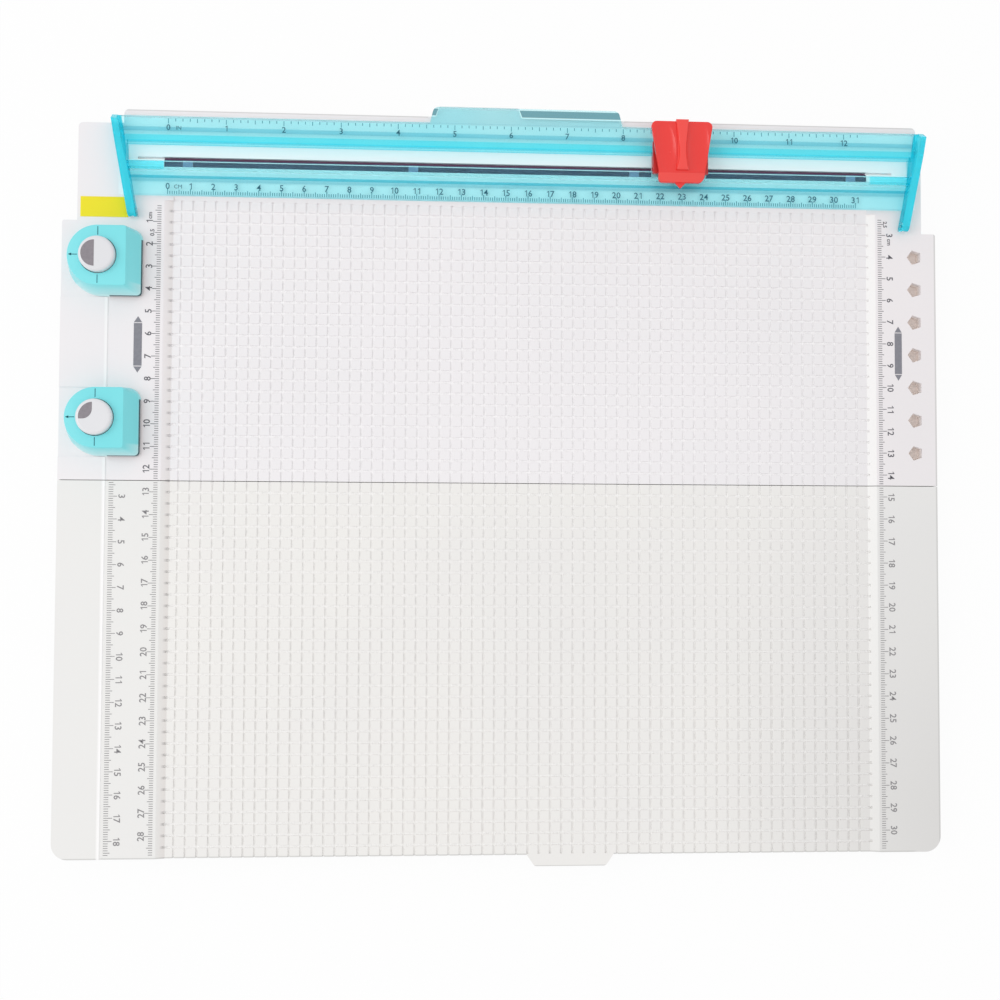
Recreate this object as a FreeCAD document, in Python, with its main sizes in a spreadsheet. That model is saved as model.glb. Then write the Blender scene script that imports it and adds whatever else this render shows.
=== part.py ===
"""Folding trim and score board: two leaves with a grid of scoring grooves, a cutting rail that lifts,
a slider with a press cap, and two corner punches.

Millimetres. X runs along the rail, Y from the front edge to the rear, Z up.
The origin is on the desk, in the middle of the boards' width, on the fold line between the two leaves.
"""
import FreeCAD, Part
import math
import os
from collections import namedtuple
from types import SimpleNamespace

import Sketcher

Vector = FreeCAD.Vector
doc = FreeCAD.newDocument("TrimBoard")

SIZES = {
    "board_width": 393.8,
    "rear_wide_depth": 115.0,
    "rear_wide_right": 115.9,
    "rear_depth": 158.8,
    "rear_step": 6.5,
    "bar_left": -170.6,
    "bar_right": 188.0,
    "bar_depth": 6.2,
    "front_depth": 164.8,
    "fold_gap": 0.3,
    "foot_height": 4.0,
    "leaf_height": 9.0,
    "skin": 4.0,
    "wall": 2.0,
    "cover_thick": 1.6,
    "slack": 0.15,
    "clearance": 0.3,
    "running_fit": 0.05,
    "held_fit": 0.02,
    "front_corner": 7.0,
    "rear_corner": 2.0,
    "section_corner": 1.0,
    "field_left": -152.5,
    "field_right": 169.1,
    "field_rear": 126.5,
    "field_depth": 1.5,
    "side_slope": 4.1,
    "rear_slope": 2.0,
    "groove_pitch": 5.0,
    "groove_width": 1.0,
    "groove_depth": 0.7,
    "groove_run_in": 1.0,
    "rear_grooves": 24,
    "front_grooves": 32,
    "fence_edge": -176.4,
    "fence_height": 0.5,
    "tab_thick": 2.6,
    "rear_tab_left": -32.4,
    "rear_tab_right": 6.3,
    "rear_tab_out": 4.8,
    "rear_tab_taper": 1.8,
    "front_tab_left": 9.8,
    "front_tab_right": 48.5,
    "front_tab_out": 5.0,
    "front_tab_taper": 3.4,
    "front_tab_corner": 2.0,
    "socket_x": 187.1,
    "socket_pitch": 15.0,
    "socket_count": 7,
    "socket_radius": 3.5,
    "socket_deep": 5.4,
    "screw_radius": 1.1,
    "screw_head_radius": 2.4,
    "screw_head_high": 0.8,
    "screw_bite": 1.0,
    "boss_wall": 1.9,
    "cover_screw_x": 140.0,
    "cover_screw_near": 26.0,
    "cover_screw_rear": 131.0,
    "cover_screw_front": 150.0,
    "foot_radius": 5.5,
    "foot_edge": 0.6,
    "foot_x": 176.0,
    "rear_foot_near": 14.0,
    "rear_foot_far": 140.0,
    "front_foot_near": 38.0,
    "front_foot_far": 152.0,
    "knuckle_radius": 1.75,
    "knuckle_drop": 0.4,
    "knuckle_long": 10.0,
    "hinge_pin_radius": 0.9,
    "hinge_pitch": 150.0,
    "strip_left": -152.7,
    "strip_right": 164.8,
    "strip_front": 139.4,
    "strip_rear": 143.9,
    "strip_thick": 2.2,
    "strip_drop": 0.6,
    "score_width": 1.0,
    "score_depth": 1.2,
    "score_left": -164.4,
    "score_right": 176.6,
    "clip_width": 4.3,
    "clip_reach": 3.0,
    "clip_pitch": 100.0,
    "clip_count": 4,
    "clip_first": -142.4,
    "rail_centre_x": 7.75,
    "rail_centre_y": 144.1,
    "rail_long": 366.2,
    "rail_wide": 35.3,
    "flange_thick": 1.5,
    "ridge_foot": 11.1,
    "land_outer": 7.4,
    "land_high": 6.2,
    "land_thick": 1.5,
    "channel_half": 3.7,
    "channel_long": 352.0,
    "cavity_half": 6.0,
    "rail_tab_left": -35.1,
    "rail_tab_right": 52.0,
    "rail_tab_out": 7.2,
    "rail_tab_taper": 1.8,
    "rail_tab_corner": 2.5,
    "arm_wall": 2.4,
    "arm_tip_wall": 4.2,
    "arm_lean": 7.7,
    "arm_high": 6.2,
    "arm_level_y": 150.0,
    "pivot_y": 118.6,
    "pivot_high": 2.2,
    "arm_tip_radius": 2.2,
    "arm_rear_drop": 5.6,
    "lug_thick": 1.0,
    "lug_radius": 1.5,
    "pivot_pin_radius": 0.6,
    "pin_skin": 0.55,
    "slider_x": 77.15,
    "shoe_half": 5.7,
    "shoe_thick": 1.2,
    "shoe_reach": 12.4,
    "neck_half": 3.4,
    "carriage_reach": 12.4,
    "carriage_front": 5.0,
    "carriage_rear": 9.5,
    "carriage_high": 2.2,
    "blade_y": 143.4,
    "blade_thick": 0.4,
    "blade_half": 4.0,
    "blade_deep": 6.5,
    "blade_above": 1.0,
    "holder_half": 5.0,
    "holder_thick": 2.8,
    "stem_half": 6.9,
    "stem_thick": 5.2,
    "press_travel": 1.6,
    "cap_rear_half": 14.1,
    "cap_front_half": 10.4,
    "cap_rear": 17.5,
    "cap_front": 9.05,
    "cap_thick": 1.6,
    "cap_gap": 0.3,
    "cap_corner": 2.3,
    "cap_slope": 3.75,
    "cap_drop": 3.8,
    "cap_ridge_start": 0.8,
    "cap_ridge_front_half": 2.75,
    "cap_ridge_waist_half": 2.0,
    "cap_ridge_rear_half": 2.85,
    "cap_ridge_waist_front": 2.9,
    "cap_ridge_waist_rear": 7.9,
    "cap_ridge_out": 0.6,
    "cap_ridge_high": 2.0,
    "pointer_half": 2.4,
    "pointer_out": 2.5,
    "pointer_thick": 0.9,
    "pointer_root": 0.5,
    "blade_pin_radius": 0.6,
    "slider_screw_x": 9.6,
    "press_spring_x": 9.6,
    "press_spring_radius": 1.2,
    "press_spring_wire": 0.3,
    "press_spring_turns": 3,
    "press_spring_sunk": 1.2,
    "punch_x": -178.6,
    "upper_punch_y": 97.1,
    "lower_punch_y": 26.5,
    "punch_reach": 15.05,
    "punch_forward": 0.95,
    "punch_right": 17.2,
    "punch_high": 12.0,
    "punch_corner": 5.5,
    "punch_front_corner": 1.8,
    "plateau_radius": 13.1,
    "plateau_right": 12.0,
    "plateau_corner": 1.2,
    "slot_high": 1.4,
    "slot_side": 3.2,
    "slot_rear": 9.0,
    "punch_floor": 3.0,
    "button_radius": 7.8,
    "button_out": 3.4,
    "button_travel": 3.3,
    "button_dome": 1.4,
    "button_flange": 1.2,
    "button_flange_high": 1.2,
    "button_wall": 1.5,
    "button_roof": 2.6,
    "cutter_side": 6.0,
    "cutter_scallop": 5.4,
    "cutter_stem_radius": 2.2,
    "punch_spring_radius": 5.2,
    "punch_spring_wire": 0.8,
    "punch_spring_turns": 4,
    "die_left": 8.0,
    "die_right": 16.2,
    "die_half": 11.5,
    "die_thick": 1.5,
    "punch_screw_x": 10.4,
    "punch_screw_y": 7.6,
    "punch_screw_bite": 4.0,
    "label_left": -189.0,
    "label_right": -168.1,
    "label_front": 116.6,
    "label_rear": 125.6,
    "label_thick": 0.15,
}


class Size:
    """A length together with the sheet formula that gives it."""

    def __init__(self, value, text):
        self.value = value
        self.text = text

    def __add__(self, other):
        other = as_size(other)
        return Size(self.value + other.value, f"({self.text} + {other.text})")

    def __sub__(self, other):
        other = as_size(other)
        return Size(self.value - other.value, f"({self.text} - {other.text})")

    def __mul__(self, other):
        other = as_size(other)
        return Size(self.value * other.value, f"({self.text} * {other.text})")

    def __truediv__(self, other):
        other = as_size(other)
        return Size(self.value / other.value, f"({self.text} / {other.text})")

    def __neg__(self):
        return Size(-self.value, f"(0 - {self.text})")

    def __radd__(self, other):
        return as_size(other) + self

    def __rsub__(self, other):
        return as_size(other) - self

    def __rmul__(self, other):
        return as_size(other) * self


def as_size(item):
    """A plain number counts as a size whose formula is the number itself."""
    if isinstance(item, Size):
        return item
    return Size(float(item), f"({item})")


sheet = doc.addObject("Spreadsheet::Sheet", "Sizes")
for row, (alias, value) in enumerate(SIZES.items(), start=1):
    sheet.set(f"A{row}", alias)
    sheet.set(f"B{row}", str(value))
    sheet.setAlias(f"B{row}", alias)
dim = SimpleNamespace(**{alias: Size(value, f"Sizes.{alias}") for alias, value in SIZES.items()})

Disc = namedtuple("Disc", "x y radius")
Bend = namedtuple("Bend", "x y centre_x centre_y")


def bind(item, name, size):
    """Ties one property of an object to a size."""
    item.setExpression(name, as_size(size).text)


def rectangle(left, right, front, rear):
    return [(left, front), (right, front), (right, rear), (left, rear)]


def hold_point(sketch, shape, place, across, up):
    """Holds a point of a sketch at two distances from the sketch's origin."""
    for kind, size in (("DistanceX", as_size(across)), ("DistanceY", as_size(up))):
        number = sketch.addConstraint(Sketcher.Constraint(kind, -1, 1, shape, place, size.value))
        sketch.setExpression(f"Constraints[{number}]", size.text)


def hold_centre(sketch, shape, across):
    """Holds an arc, whose ends are held already, by how far its centre lies across."""
    size = as_size(across)
    number = sketch.addConstraint(Sketcher.Constraint("DistanceX", -1, 1, shape, 3, size.value))
    sketch.setExpression(f"Constraints[{number}]", size.text)


def side_of_outline(corner, start, end):
    """The line from one corner to the next, or from a Bend the arc that turns left about its centre."""
    if not isinstance(corner, Bend):
        return Part.LineSegment(start, end)
    centre = Vector(as_size(corner.centre_x).value, as_size(corner.centre_y).value, 0)
    turns = [math.atan2(point.y - centre.y, point.x - centre.x) for point in (start, end)]
    circle = Part.Circle(centre, Vector(0, 0, 1), (start - centre).Length)
    return Part.ArcOfCircle(circle, turns[0], turns[1])


def draw(sketch, outline):
    """Adds one closed outline to a sketch: a disc, or corners in order, turning left."""
    first = sketch.GeometryCount
    if isinstance(outline, Disc):
        centre = Vector(as_size(outline.x).value, as_size(outline.y).value, 0)
        radius = as_size(outline.radius)
        sketch.addGeometry(Part.Circle(centre, Vector(0, 0, 1), radius.value), False)
        hold_point(sketch, first, 3, outline.x, outline.y)
        number = sketch.addConstraint(Sketcher.Constraint("Radius", first, radius.value))
        sketch.setExpression(f"Constraints[{number}]", radius.text)
        return
    points = [Vector(as_size(corner[0]).value, as_size(corner[1]).value, 0) for corner in outline]
    count = len(points)
    for index, corner in enumerate(outline):
        side = side_of_outline(corner, points[index], points[(index + 1) % count])
        sketch.addGeometry(side, False)
    for index in range(count):
        following = first + (index + 1) % count
        sketch.addConstraint(Sketcher.Constraint("Coincident", first + index, 2, following, 1))
    for index, corner in enumerate(outline):
        hold_point(sketch, first + index, 1, corner[0], corner[1])
        if isinstance(corner, Bend):
            hold_centre(sketch, first + index, corner.centre_x)


class Piece:
    """One moulded or machined piece: a body built up from pads, pockets, patterns and fillets.

    Each feature is drawn on one of the body's own planes and runs from one place to another along
    the plane's normal: XY from low to high, YZ from left to right, XZ from front to rear.
    """

    def __init__(self, name):
        self.body = doc.addObject("PartDesign::Body", name)
        self.body.AllowCompound = True
        self.datums = {feature.Role: feature for feature in self.body.Origin.OriginFeatures}
        self.count = 0

    def sketch(self, plane, outlines, offset):
        self.count += 1
        sketch = self.body.newObject("Sketcher::SketchObject", f"{self.body.Name}_sketch{self.count}")
        sketch.AttachmentSupport = (self.datums[plane + "_Plane"], [""])
        sketch.MapMode = "FlatFace"
        bind(sketch, ".AttachmentOffset.Base.z", offset)
        for outline in outlines:
            draw(sketch, outline)
        return sketch

    def add(self, plane, start, end, *outlines):
        """A pad of the outlines from start to end."""
        offset = -as_size(end) if plane == "XZ" else start
        profile = self.sketch(plane, outlines, offset)
        pad = self.body.newObject("PartDesign::Pad", f"{self.body.Name}_pad{self.count}")
        pad.Profile = (profile, [""])
        bind(pad, "Length", end - start)
        return pad

    def cut(self, plane, start, end, *outlines):
        """A pocket of the outlines from start to end. It has to take something away."""
        offset = -as_size(start) if plane == "XZ" else end
        profile = self.sketch(plane, outlines, offset)
        doc.recompute()
        before = self.body.Shape.Volume
        pocket = self.body.newObject("PartDesign::Pocket", f"{self.body.Name}_pocket{self.count}")
        pocket.Profile = (profile, [""])
        bind(pocket, "Length", end - start)
        doc.recompute()
        if self.body.Shape.Volume >= before:
            raise ValueError(f"{pocket.Name} takes nothing away")
        return pocket

    def taper(self, low, low_outline, high, high_outline):
        """A solid whose sides run straight from one outline to a like one above it."""
        first = self.sketch("XY", [low_outline], low)
        second = self.sketch("XY", [high_outline], high)
        loft = self.body.newObject("PartDesign::AdditiveLoft", f"{self.body.Name}_taper{self.count}")
        loft.Profile = (first, [""])
        loft.Sections = [(second, [""])]
        loft.Ruled = True
        return loft

    def repeat(self, features, axis, pitch, copies, backwards=False):
        pattern = self.body.newObject("PartDesign::LinearPattern", f"{self.body.Name}_row{self.count}")
        pattern.Originals = features
        pattern.Direction = (self.datums[axis + "_Axis"], [""])
        pattern.Reversed = backwards
        pattern.Mode = "Spacing"
        bind(pattern, "Offset", pitch)
        bind(pattern, "Occurrences", copies)
        self.body.Tip = pattern
        return pattern

    def round_edges(self, radius, chosen):
        """Rounds every edge for which chosen(edge) is true."""
        doc.recompute()
        last = self.body.Tip
        names = [f"Edge{number}" for number, edge in enumerate(last.Shape.Edges, start=1) if chosen(edge)]
        fillet = self.body.newObject("PartDesign::Fillet", f"{self.body.Name}_fillet{self.count}")
        self.count += 1
        fillet.Base = (last, names)
        bind(fillet, "Radius", radius)
        return fillet


def upright_at(*places):
    """Chooses the upright edges at the given places, seen from above."""
    wanted = [(as_size(x).value, as_size(y).value) for x, y in places]

    def chosen(edge):
        box = edge.BoundBox
        if box.XLength + box.YLength > 0.01:
            return False
        return any(math.hypot(box.XMin - x, box.YMin - y) < 0.05 for x, y in wanted)

    return chosen


def box(name, left, right, front, rear, low, high):
    item = doc.addObject("Part::Box", name)
    bind(item, "Length", right - left)
    bind(item, "Width", rear - front)
    bind(item, "Height", high - low)
    for letter, size in zip("xyz", (left, front, low)):
        bind(item, f"Placement.Base.{letter}", size)
    return item


def rod(name, x, y, low, high, radius):
    """An upright cylinder."""
    item = doc.addObject("Part::Cylinder", name)
    bind(item, "Radius", radius)
    bind(item, "Height", high - low)
    for letter, size in zip("xyz", (x, y, low)):
        bind(item, f"Placement.Base.{letter}", size)
    return item


def pin_along_x(name, left, right, y, z, radius):
    item = doc.addObject("Part::Cylinder", name)
    item.Placement.Rotation = FreeCAD.Rotation(Vector(0, 1, 0), 90)
    bind(item, "Radius", radius)
    bind(item, "Height", right - left)
    for letter, size in zip("xyz", (left, y, z)):
        bind(item, f"Placement.Base.{letter}", size)
    return item


def pin_along_y(name, x, z, front, rear, radius):
    item = doc.addObject("Part::Cylinder", name)
    item.Placement.Rotation = FreeCAD.Rotation(Vector(1, 0, 0), -90)
    bind(item, "Radius", radius)
    bind(item, "Height", rear - front)
    for letter, size in zip("xyz", (x, front, z)):
        bind(item, f"Placement.Base.{letter}", size)
    return item


def joined(name, items):
    """Several shapes as one object. Shapes that do not touch stay separate solids."""
    if len(items) == 1:
        items[0].Label = name
        return items[0]
    item = doc.addObject("Part::MultiFuse", name)
    item.Shapes = items
    return item


def less(name, base, tool):
    item = doc.addObject("Part::Cut", name)
    item.Base = base
    item.Tool = tool
    return item


def coil(name, x, y, low, high, radius, wire, turns):
    """A compression spring: one round wire on a helix between two heights."""
    spine = doc.addObject("Part::Helix", name + "_line")
    bind(spine, "Radius", radius)
    bind(spine, "Height", high - low - wire)
    bind(spine, "Pitch", (high - low - wire) / turns)
    for letter, size in zip("xyz", (x, y, low + wire / 2)):
        bind(spine, f"Placement.Base.{letter}", size)
    section = doc.addObject("Part::Circle", name + "_wire")
    section.Placement.Rotation = FreeCAD.Rotation(Vector(1, 0, 0), 90)
    bind(section, "Radius", wire / 2)
    for letter, size in zip("xyz", (x + radius, y, low + wire / 2)):
        bind(section, f"Placement.Base.{letter}", size)
    sweep = doc.addObject("Part::Sweep", name)
    sweep.Sections = [section]
    sweep.Spine = (spine, [])
    sweep.Solid = True
    sweep.Frenet = True
    return sweep


# Levels, from the desk up
leaf_low = dim.foot_height
leaf_top = leaf_low + dim.leaf_height
skin_low = leaf_top - dim.skin
cover_top = leaf_low + dim.cover_thick
pad_top = leaf_top - dim.field_depth
groove_low = pad_top - dim.groove_depth
fence_top = leaf_top + dim.fence_height
hinge_level = leaf_low - dim.knuckle_drop - dim.knuckle_radius
strip_top = leaf_top - dim.strip_drop
strip_low = strip_top - dim.strip_thick
score_low = strip_top - dim.score_depth
rail_low = leaf_top + dim.clearance
flange_top = rail_low + dim.flange_thick
land_top = rail_low + dim.land_high
land_low = land_top - dim.land_thick
pivot_level = rail_low + dim.pivot_high
punch_top = leaf_top + dim.punch_high
slot_top = leaf_top + dim.slot_high
floor_top = slot_top + dim.punch_floor

# Places, seen from above
half_width = dim.board_width / 2
section_half = half_width - dim.rear_step
fold = dim.fold_gap / 2
bar_rear = dim.rear_depth + dim.bar_depth
rail_front = dim.rail_centre_y - dim.rail_wide / 2
rail_rear = dim.rail_centre_y + dim.rail_wide / 2
rail_left = dim.rail_centre_x - dim.rail_long / 2
rail_right = dim.rail_centre_x + dim.rail_long / 2
channel_left = dim.rail_centre_x - dim.channel_long / 2
channel_right = dim.rail_centre_x + dim.channel_long / 2
groove_left = dim.field_left + dim.side_slope - dim.groove_run_in
groove_right = dim.field_right - dim.side_slope + dim.groove_run_in
hinge_centres = (-dim.hinge_pitch, as_size(0), dim.hinge_pitch)
boss_radius = dim.screw_radius + dim.boss_wall
screw_tip = skin_low + dim.screw_bite
cover_screw_columns = (-dim.cover_screw_x, as_size(0), dim.cover_screw_x)
rear_screws = [(x, y) for y in (dim.cover_screw_near, dim.cover_screw_rear) for x in cover_screw_columns]
front_screws = [(x, -y) for y in (dim.cover_screw_near, dim.cover_screw_front) for x in cover_screw_columns]
punch_centres = {"upper": dim.upper_punch_y, "lower": dim.lower_punch_y}
punch_screw_x = dim.punch_x - dim.punch_screw_x
punch_front = dim.punch_reach + dim.punch_forward
punch_rear = dim.punch_reach - dim.punch_forward
chip_half = dim.cutter_side / 2 + dim.clearance
arm_front = dim.pivot_y - dim.arm_tip_radius
arm_inset_at_pivot = dim.arm_lean * ((rail_rear - dim.pivot_y) / (rail_rear - arm_front))
lug_middle_inset = arm_inset_at_pivot + dim.arm_tip_wall / 2


def field_profile():
    """The sunk field across the width: sloped sides and a flat floor."""
    return [
        (dim.field_left, leaf_top),
        (dim.field_left + dim.side_slope, pad_top),
        (dim.field_right - dim.side_slope, pad_top),
        (dim.field_right, leaf_top),
        (dim.field_right, fence_top),
        (dim.field_left, fence_top),
    ]


def groove_profile(place):
    half = dim.groove_width / 2
    return rectangle(place - half, place + half, groove_low, leaf_top)


def pentagon(x, y, radius):
    """Five corners with one pointing left."""
    turns = [math.radians(180 + 72 * corner) for corner in range(5)]
    return [(x + radius * math.cos(turn), y + radius * math.sin(turn)) for turn in turns]


def chip_opening(centre):
    """Opening below a punch through which the cut chips drop."""
    return rectangle(dim.punch_x - chip_half, dim.punch_x + chip_half, centre - chip_half, centre + chip_half)


def add_knuckles(piece, side, spans):
    """Hinge knuckles under the fold edge. side is 1 on the rear leaf and -1 on the front leaf."""
    lug = rectangle(side * fold, side * (fold + dim.wall), hinge_level, leaf_low + dim.wall / 2)
    bore = dim.hinge_pin_radius + (dim.held_fit if side > 0 else dim.running_fit)
    for centre in hinge_centres:
        for start, end in spans:
            piece.add("YZ", centre + start, centre + end, lug)
            piece.add("YZ", centre + start, centre + end, Disc(0, hinge_level, dim.knuckle_radius))
    for centre in hinge_centres:
        for start, end in spans:
            piece.cut("YZ", centre + start, centre + end, Disc(0, hinge_level, bore))


def rear_board():
    piece = Piece("rear_board")
    outline = [
        (-half_width, fold),
        (half_width, fold),
        (half_width, dim.rear_wide_right),
        (section_half, dim.rear_wide_right),
        (section_half, dim.rear_depth),
        (dim.bar_right, dim.rear_depth),
        (dim.bar_right, bar_rear),
        (dim.bar_left, bar_rear),
        (dim.bar_left, dim.rear_depth),
        (-section_half, dim.rear_depth),
        (-section_half, dim.rear_wide_depth),
        (-half_width, dim.rear_wide_depth),
    ]
    piece.add("XY", leaf_low, leaf_top, outline)
    piece.round_edges(dim.rear_corner, upright_at(outline[6], outline[7], outline[9]))
    piece.round_edges(dim.section_corner, upright_at(outline[2], outline[4], outline[11]))
    piece.cut("XY", leaf_low, skin_low, rear_cavity(dim.wall))
    bosses = [Disc(x, y, boss_radius) for x, y in rear_screws]
    piece.add("XY", cover_top, skin_low + dim.skin / 2, *bosses)
    piece.cut("XY", cover_top, screw_tip, *[Disc(x, y, dim.screw_radius + dim.held_fit) for x, y in rear_screws])

    # Raised fence strips beside the punches
    after_lower = dim.lower_punch_y + punch_rear + dim.clearance
    before_upper = dim.upper_punch_y - punch_front - dim.clearance
    before_lower = dim.lower_punch_y - punch_front - dim.clearance
    piece.add(
        "XY", leaf_top, fence_top,
        rectangle(-half_width, dim.fence_edge, fold, before_lower),
        rectangle(-half_width, dim.fence_edge, after_lower, before_upper),
    )

    # Sunk field
    flat_rear = dim.field_rear - dim.rear_slope
    piece.cut("XZ", fold, flat_rear, field_profile())
    rear_edge = [
        (flat_rear - dim.slack, pad_top),
        (flat_rear, pad_top),
        (dim.field_rear, leaf_top),
        (dim.field_rear, fence_top),
        (flat_rear - dim.slack, fence_top),
    ]
    piece.cut("YZ", dim.field_left + dim.side_slope, dim.field_right - dim.side_slope, rear_edge)

    # Finger tab behind the rail
    piece.add("XY", strip_low, leaf_top - dim.slack, [
        (dim.rear_tab_left, bar_rear - dim.wall / 2),
        (dim.rear_tab_right, bar_rear - dim.wall / 2),
        (dim.rear_tab_right, bar_rear),
        (dim.rear_tab_right - dim.rear_tab_taper, bar_rear + dim.rear_tab_out),
        (dim.rear_tab_left + dim.rear_tab_taper, bar_rear + dim.rear_tab_out),
        (dim.rear_tab_left, bar_rear),
    ])

    # Slot of the cutting strip, with the clips that hold its front edge
    slack = dim.slack
    piece.cut("XY", strip_low, leaf_top, rectangle(
        dim.strip_left - slack, dim.strip_right + slack, dim.strip_front - slack, dim.strip_rear + slack))
    clip = piece.add("XY", strip_top, leaf_top, rectangle(
        dim.clip_first - dim.clip_width / 2, dim.clip_first + dim.clip_width / 2,
        dim.strip_front - dim.wall, dim.strip_front + dim.clip_reach))
    piece.repeat([clip], "X", dim.clip_pitch, dim.clip_count)
    score_rear = dim.strip_rear
    piece.cut("XY", score_low, leaf_top, rectangle(
        dim.score_left, dim.score_right, score_rear - dim.score_width, score_rear))

    # Row of five-sided tool sockets, with the block below that holds them
    last_socket = dim.socket_pitch * (dim.socket_count - 1)
    reach = dim.socket_radius + dim.boss_wall
    piece.add("XY", leaf_top - dim.socket_deep - dim.wall / 2, skin_low + dim.screw_bite, rectangle(
        dim.socket_x - reach, dim.socket_x + reach,
        dim.socket_pitch - reach, dim.socket_pitch + last_socket + reach))
    socket = piece.cut("XY", leaf_top - dim.socket_deep, leaf_top, pentagon(
        dim.socket_x, dim.socket_pitch, dim.socket_radius))
    piece.repeat([socket], "Y", dim.socket_pitch, dim.socket_count)

    # Punch seats: die recess, chip hole and screw holes
    for centre in punch_centres.values():
        piece.cut("XY", leaf_top - dim.die_thick, leaf_top, rectangle(
            dim.punch_x - dim.die_left - slack, dim.punch_x + dim.die_right + slack,
            centre - dim.die_half - slack, centre + dim.die_half + slack))
        piece.cut("XY", skin_low, leaf_top, chip_opening(centre))
        holes = [Disc(punch_screw_x, centre + side * dim.punch_screw_y, dim.screw_radius + dim.running_fit)
                 for side in (-1, 1)]
        piece.cut("XY", skin_low, leaf_top, *holes)

    # Lugs that carry the rail's arms
    for inner in (rail_left + lug_middle_inset, rail_right - lug_middle_inset):
        start = inner - dim.lug_thick / 2
        end = inner + dim.lug_thick / 2
        piece.add("YZ", start, end, rectangle(
            dim.pivot_y - dim.lug_radius, dim.pivot_y + dim.lug_radius, leaf_top - dim.wall / 2, pivot_level))
        piece.add("YZ", start, end, Disc(dim.pivot_y, pivot_level, dim.lug_radius))
        piece.cut("YZ", start, end, Disc(dim.pivot_y, pivot_level, dim.pivot_pin_radius + dim.held_fit))

    add_knuckles(piece, 1, [(-dim.knuckle_long / 2, dim.knuckle_long / 2)])

    # Cross grooves of the field
    groove = piece.cut("YZ", groove_left, groove_right, groove_profile(dim.groove_pitch))
    piece.repeat([groove], "Y", dim.groove_pitch, dim.rear_grooves)
    return piece.body


def rear_cavity(inset):
    """Outline of the rear leaf's hollow, at a given distance inside the edge."""
    return [
        (-half_width + inset, fold + inset),
        (half_width - inset, fold + inset),
        (half_width - inset, dim.rear_wide_right - inset),
        (section_half - inset, dim.rear_wide_right - inset),
        (section_half - inset, dim.rear_depth - inset),
        (-section_half + inset, dim.rear_depth - inset),
        (-section_half + inset, dim.rear_wide_depth - inset),
        (-half_width + inset, dim.rear_wide_depth - inset),
    ]


def front_board():
    piece = Piece("front_board")
    outline = rectangle(-half_width, half_width, -dim.front_depth, -fold)
    piece.add("XY", leaf_low, leaf_top, outline)
    piece.add("XY", leaf_top, fence_top, rectangle(-half_width, dim.fence_edge, -dim.front_depth, -fold))
    piece.round_edges(dim.front_corner, upright_at(outline[0], outline[1]))
    inset = dim.wall
    piece.cut("XY", leaf_low, skin_low, corner_cut(inset))
    piece.add("XY", cover_top, skin_low + dim.skin / 2, *[Disc(x, y, boss_radius) for x, y in front_screws])
    piece.cut("XY", cover_top, screw_tip, *[
        Disc(x, y, dim.screw_radius + dim.held_fit) for x, y in front_screws])
    piece.cut("XZ", -dim.front_depth, -fold, field_profile())
    edge = -dim.front_depth
    tab_left = (dim.front_tab_left + dim.front_tab_taper, edge - dim.front_tab_out)
    tab_right = (dim.front_tab_right - dim.front_tab_taper, edge - dim.front_tab_out)
    piece.add("XY", pad_top - dim.tab_thick, pad_top, [
        (dim.front_tab_left, edge + dim.wall / 2),
        (dim.front_tab_left, edge),
        tab_left,
        tab_right,
        (dim.front_tab_right, edge),
        (dim.front_tab_right, edge + dim.wall / 2),
    ])
    piece.round_edges(dim.front_tab_corner, upright_at(tab_left, tab_right))
    half = dim.knuckle_long / 2
    near = half + dim.clearance
    add_knuckles(piece, -1, [(-near - half, -near), (near, near + half)])
    groove = piece.cut("YZ", groove_left, groove_right, groove_profile(-dim.groove_pitch))
    piece.repeat([groove], "Y", dim.groove_pitch, dim.front_grooves, backwards=True)
    return piece.body


def corner_cut(inset):
    """Front leaf's hollow, with its front corners cut off to follow the rounded corners."""
    corner = dim.front_corner
    left = -half_width + inset
    right = half_width - inset
    front = -dim.front_depth + inset
    return [
        (left + corner / 2, front),
        (right - corner / 2, front),
        (right, front + corner / 2),
        (right, -fold - inset),
        (left, -fold - inset),
        (left, front + corner / 2),
    ]


def bottom_cover(name, outline, screws, chip_holes):
    """Thin plate that closes a leaf from below."""
    piece = Piece(name)
    piece.add("XY", leaf_low, cover_top, outline)
    piece.cut("XY", leaf_low, cover_top, *[Disc(x, y, dim.screw_radius + dim.slack) for x, y in screws])
    sink = dim.screw_head_high
    piece.cut("XY", leaf_low, leaf_low + sink, *[Disc(x, y, dim.screw_head_radius + dim.slack) for x, y in screws])
    if chip_holes:
        piece.cut("XY", leaf_low, cover_top, *chip_holes)
    return piece.body


def cover_screws(name, screws):
    parts = []
    for number, (x, y) in enumerate(screws):
        parts.append(rod(f"{name}_head{number}", x, y, leaf_low, leaf_low + dim.screw_head_high,
                         dim.screw_head_radius))
        parts.append(rod(f"{name}_shank{number}", x, y, leaf_low, screw_tip - dim.clearance,
                         dim.screw_radius))
    return joined(name, parts)


def feet(name, near, far):
    """Four round rubber feet under a leaf, with a rounded lower edge."""
    piece = Piece(name)
    discs = [Disc(x, y, dim.foot_radius) for x in (-dim.foot_x, dim.foot_x) for y in (near, far)]
    piece.add("XY", as_size(0), leaf_low, *discs)
    piece.round_edges(dim.foot_edge, lambda edge: edge.BoundBox.ZMax < 0.01)
    return piece.body


def cutting_strip():
    piece = Piece("cutting_strip")
    piece.add("XY", strip_low, strip_top, rectangle(
        dim.strip_left, dim.strip_right, dim.strip_front, dim.strip_rear))
    piece.cut("XY", score_low, strip_top, rectangle(
        dim.strip_left, dim.strip_right, dim.strip_rear - dim.score_width, dim.strip_rear))
    return piece.body


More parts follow.
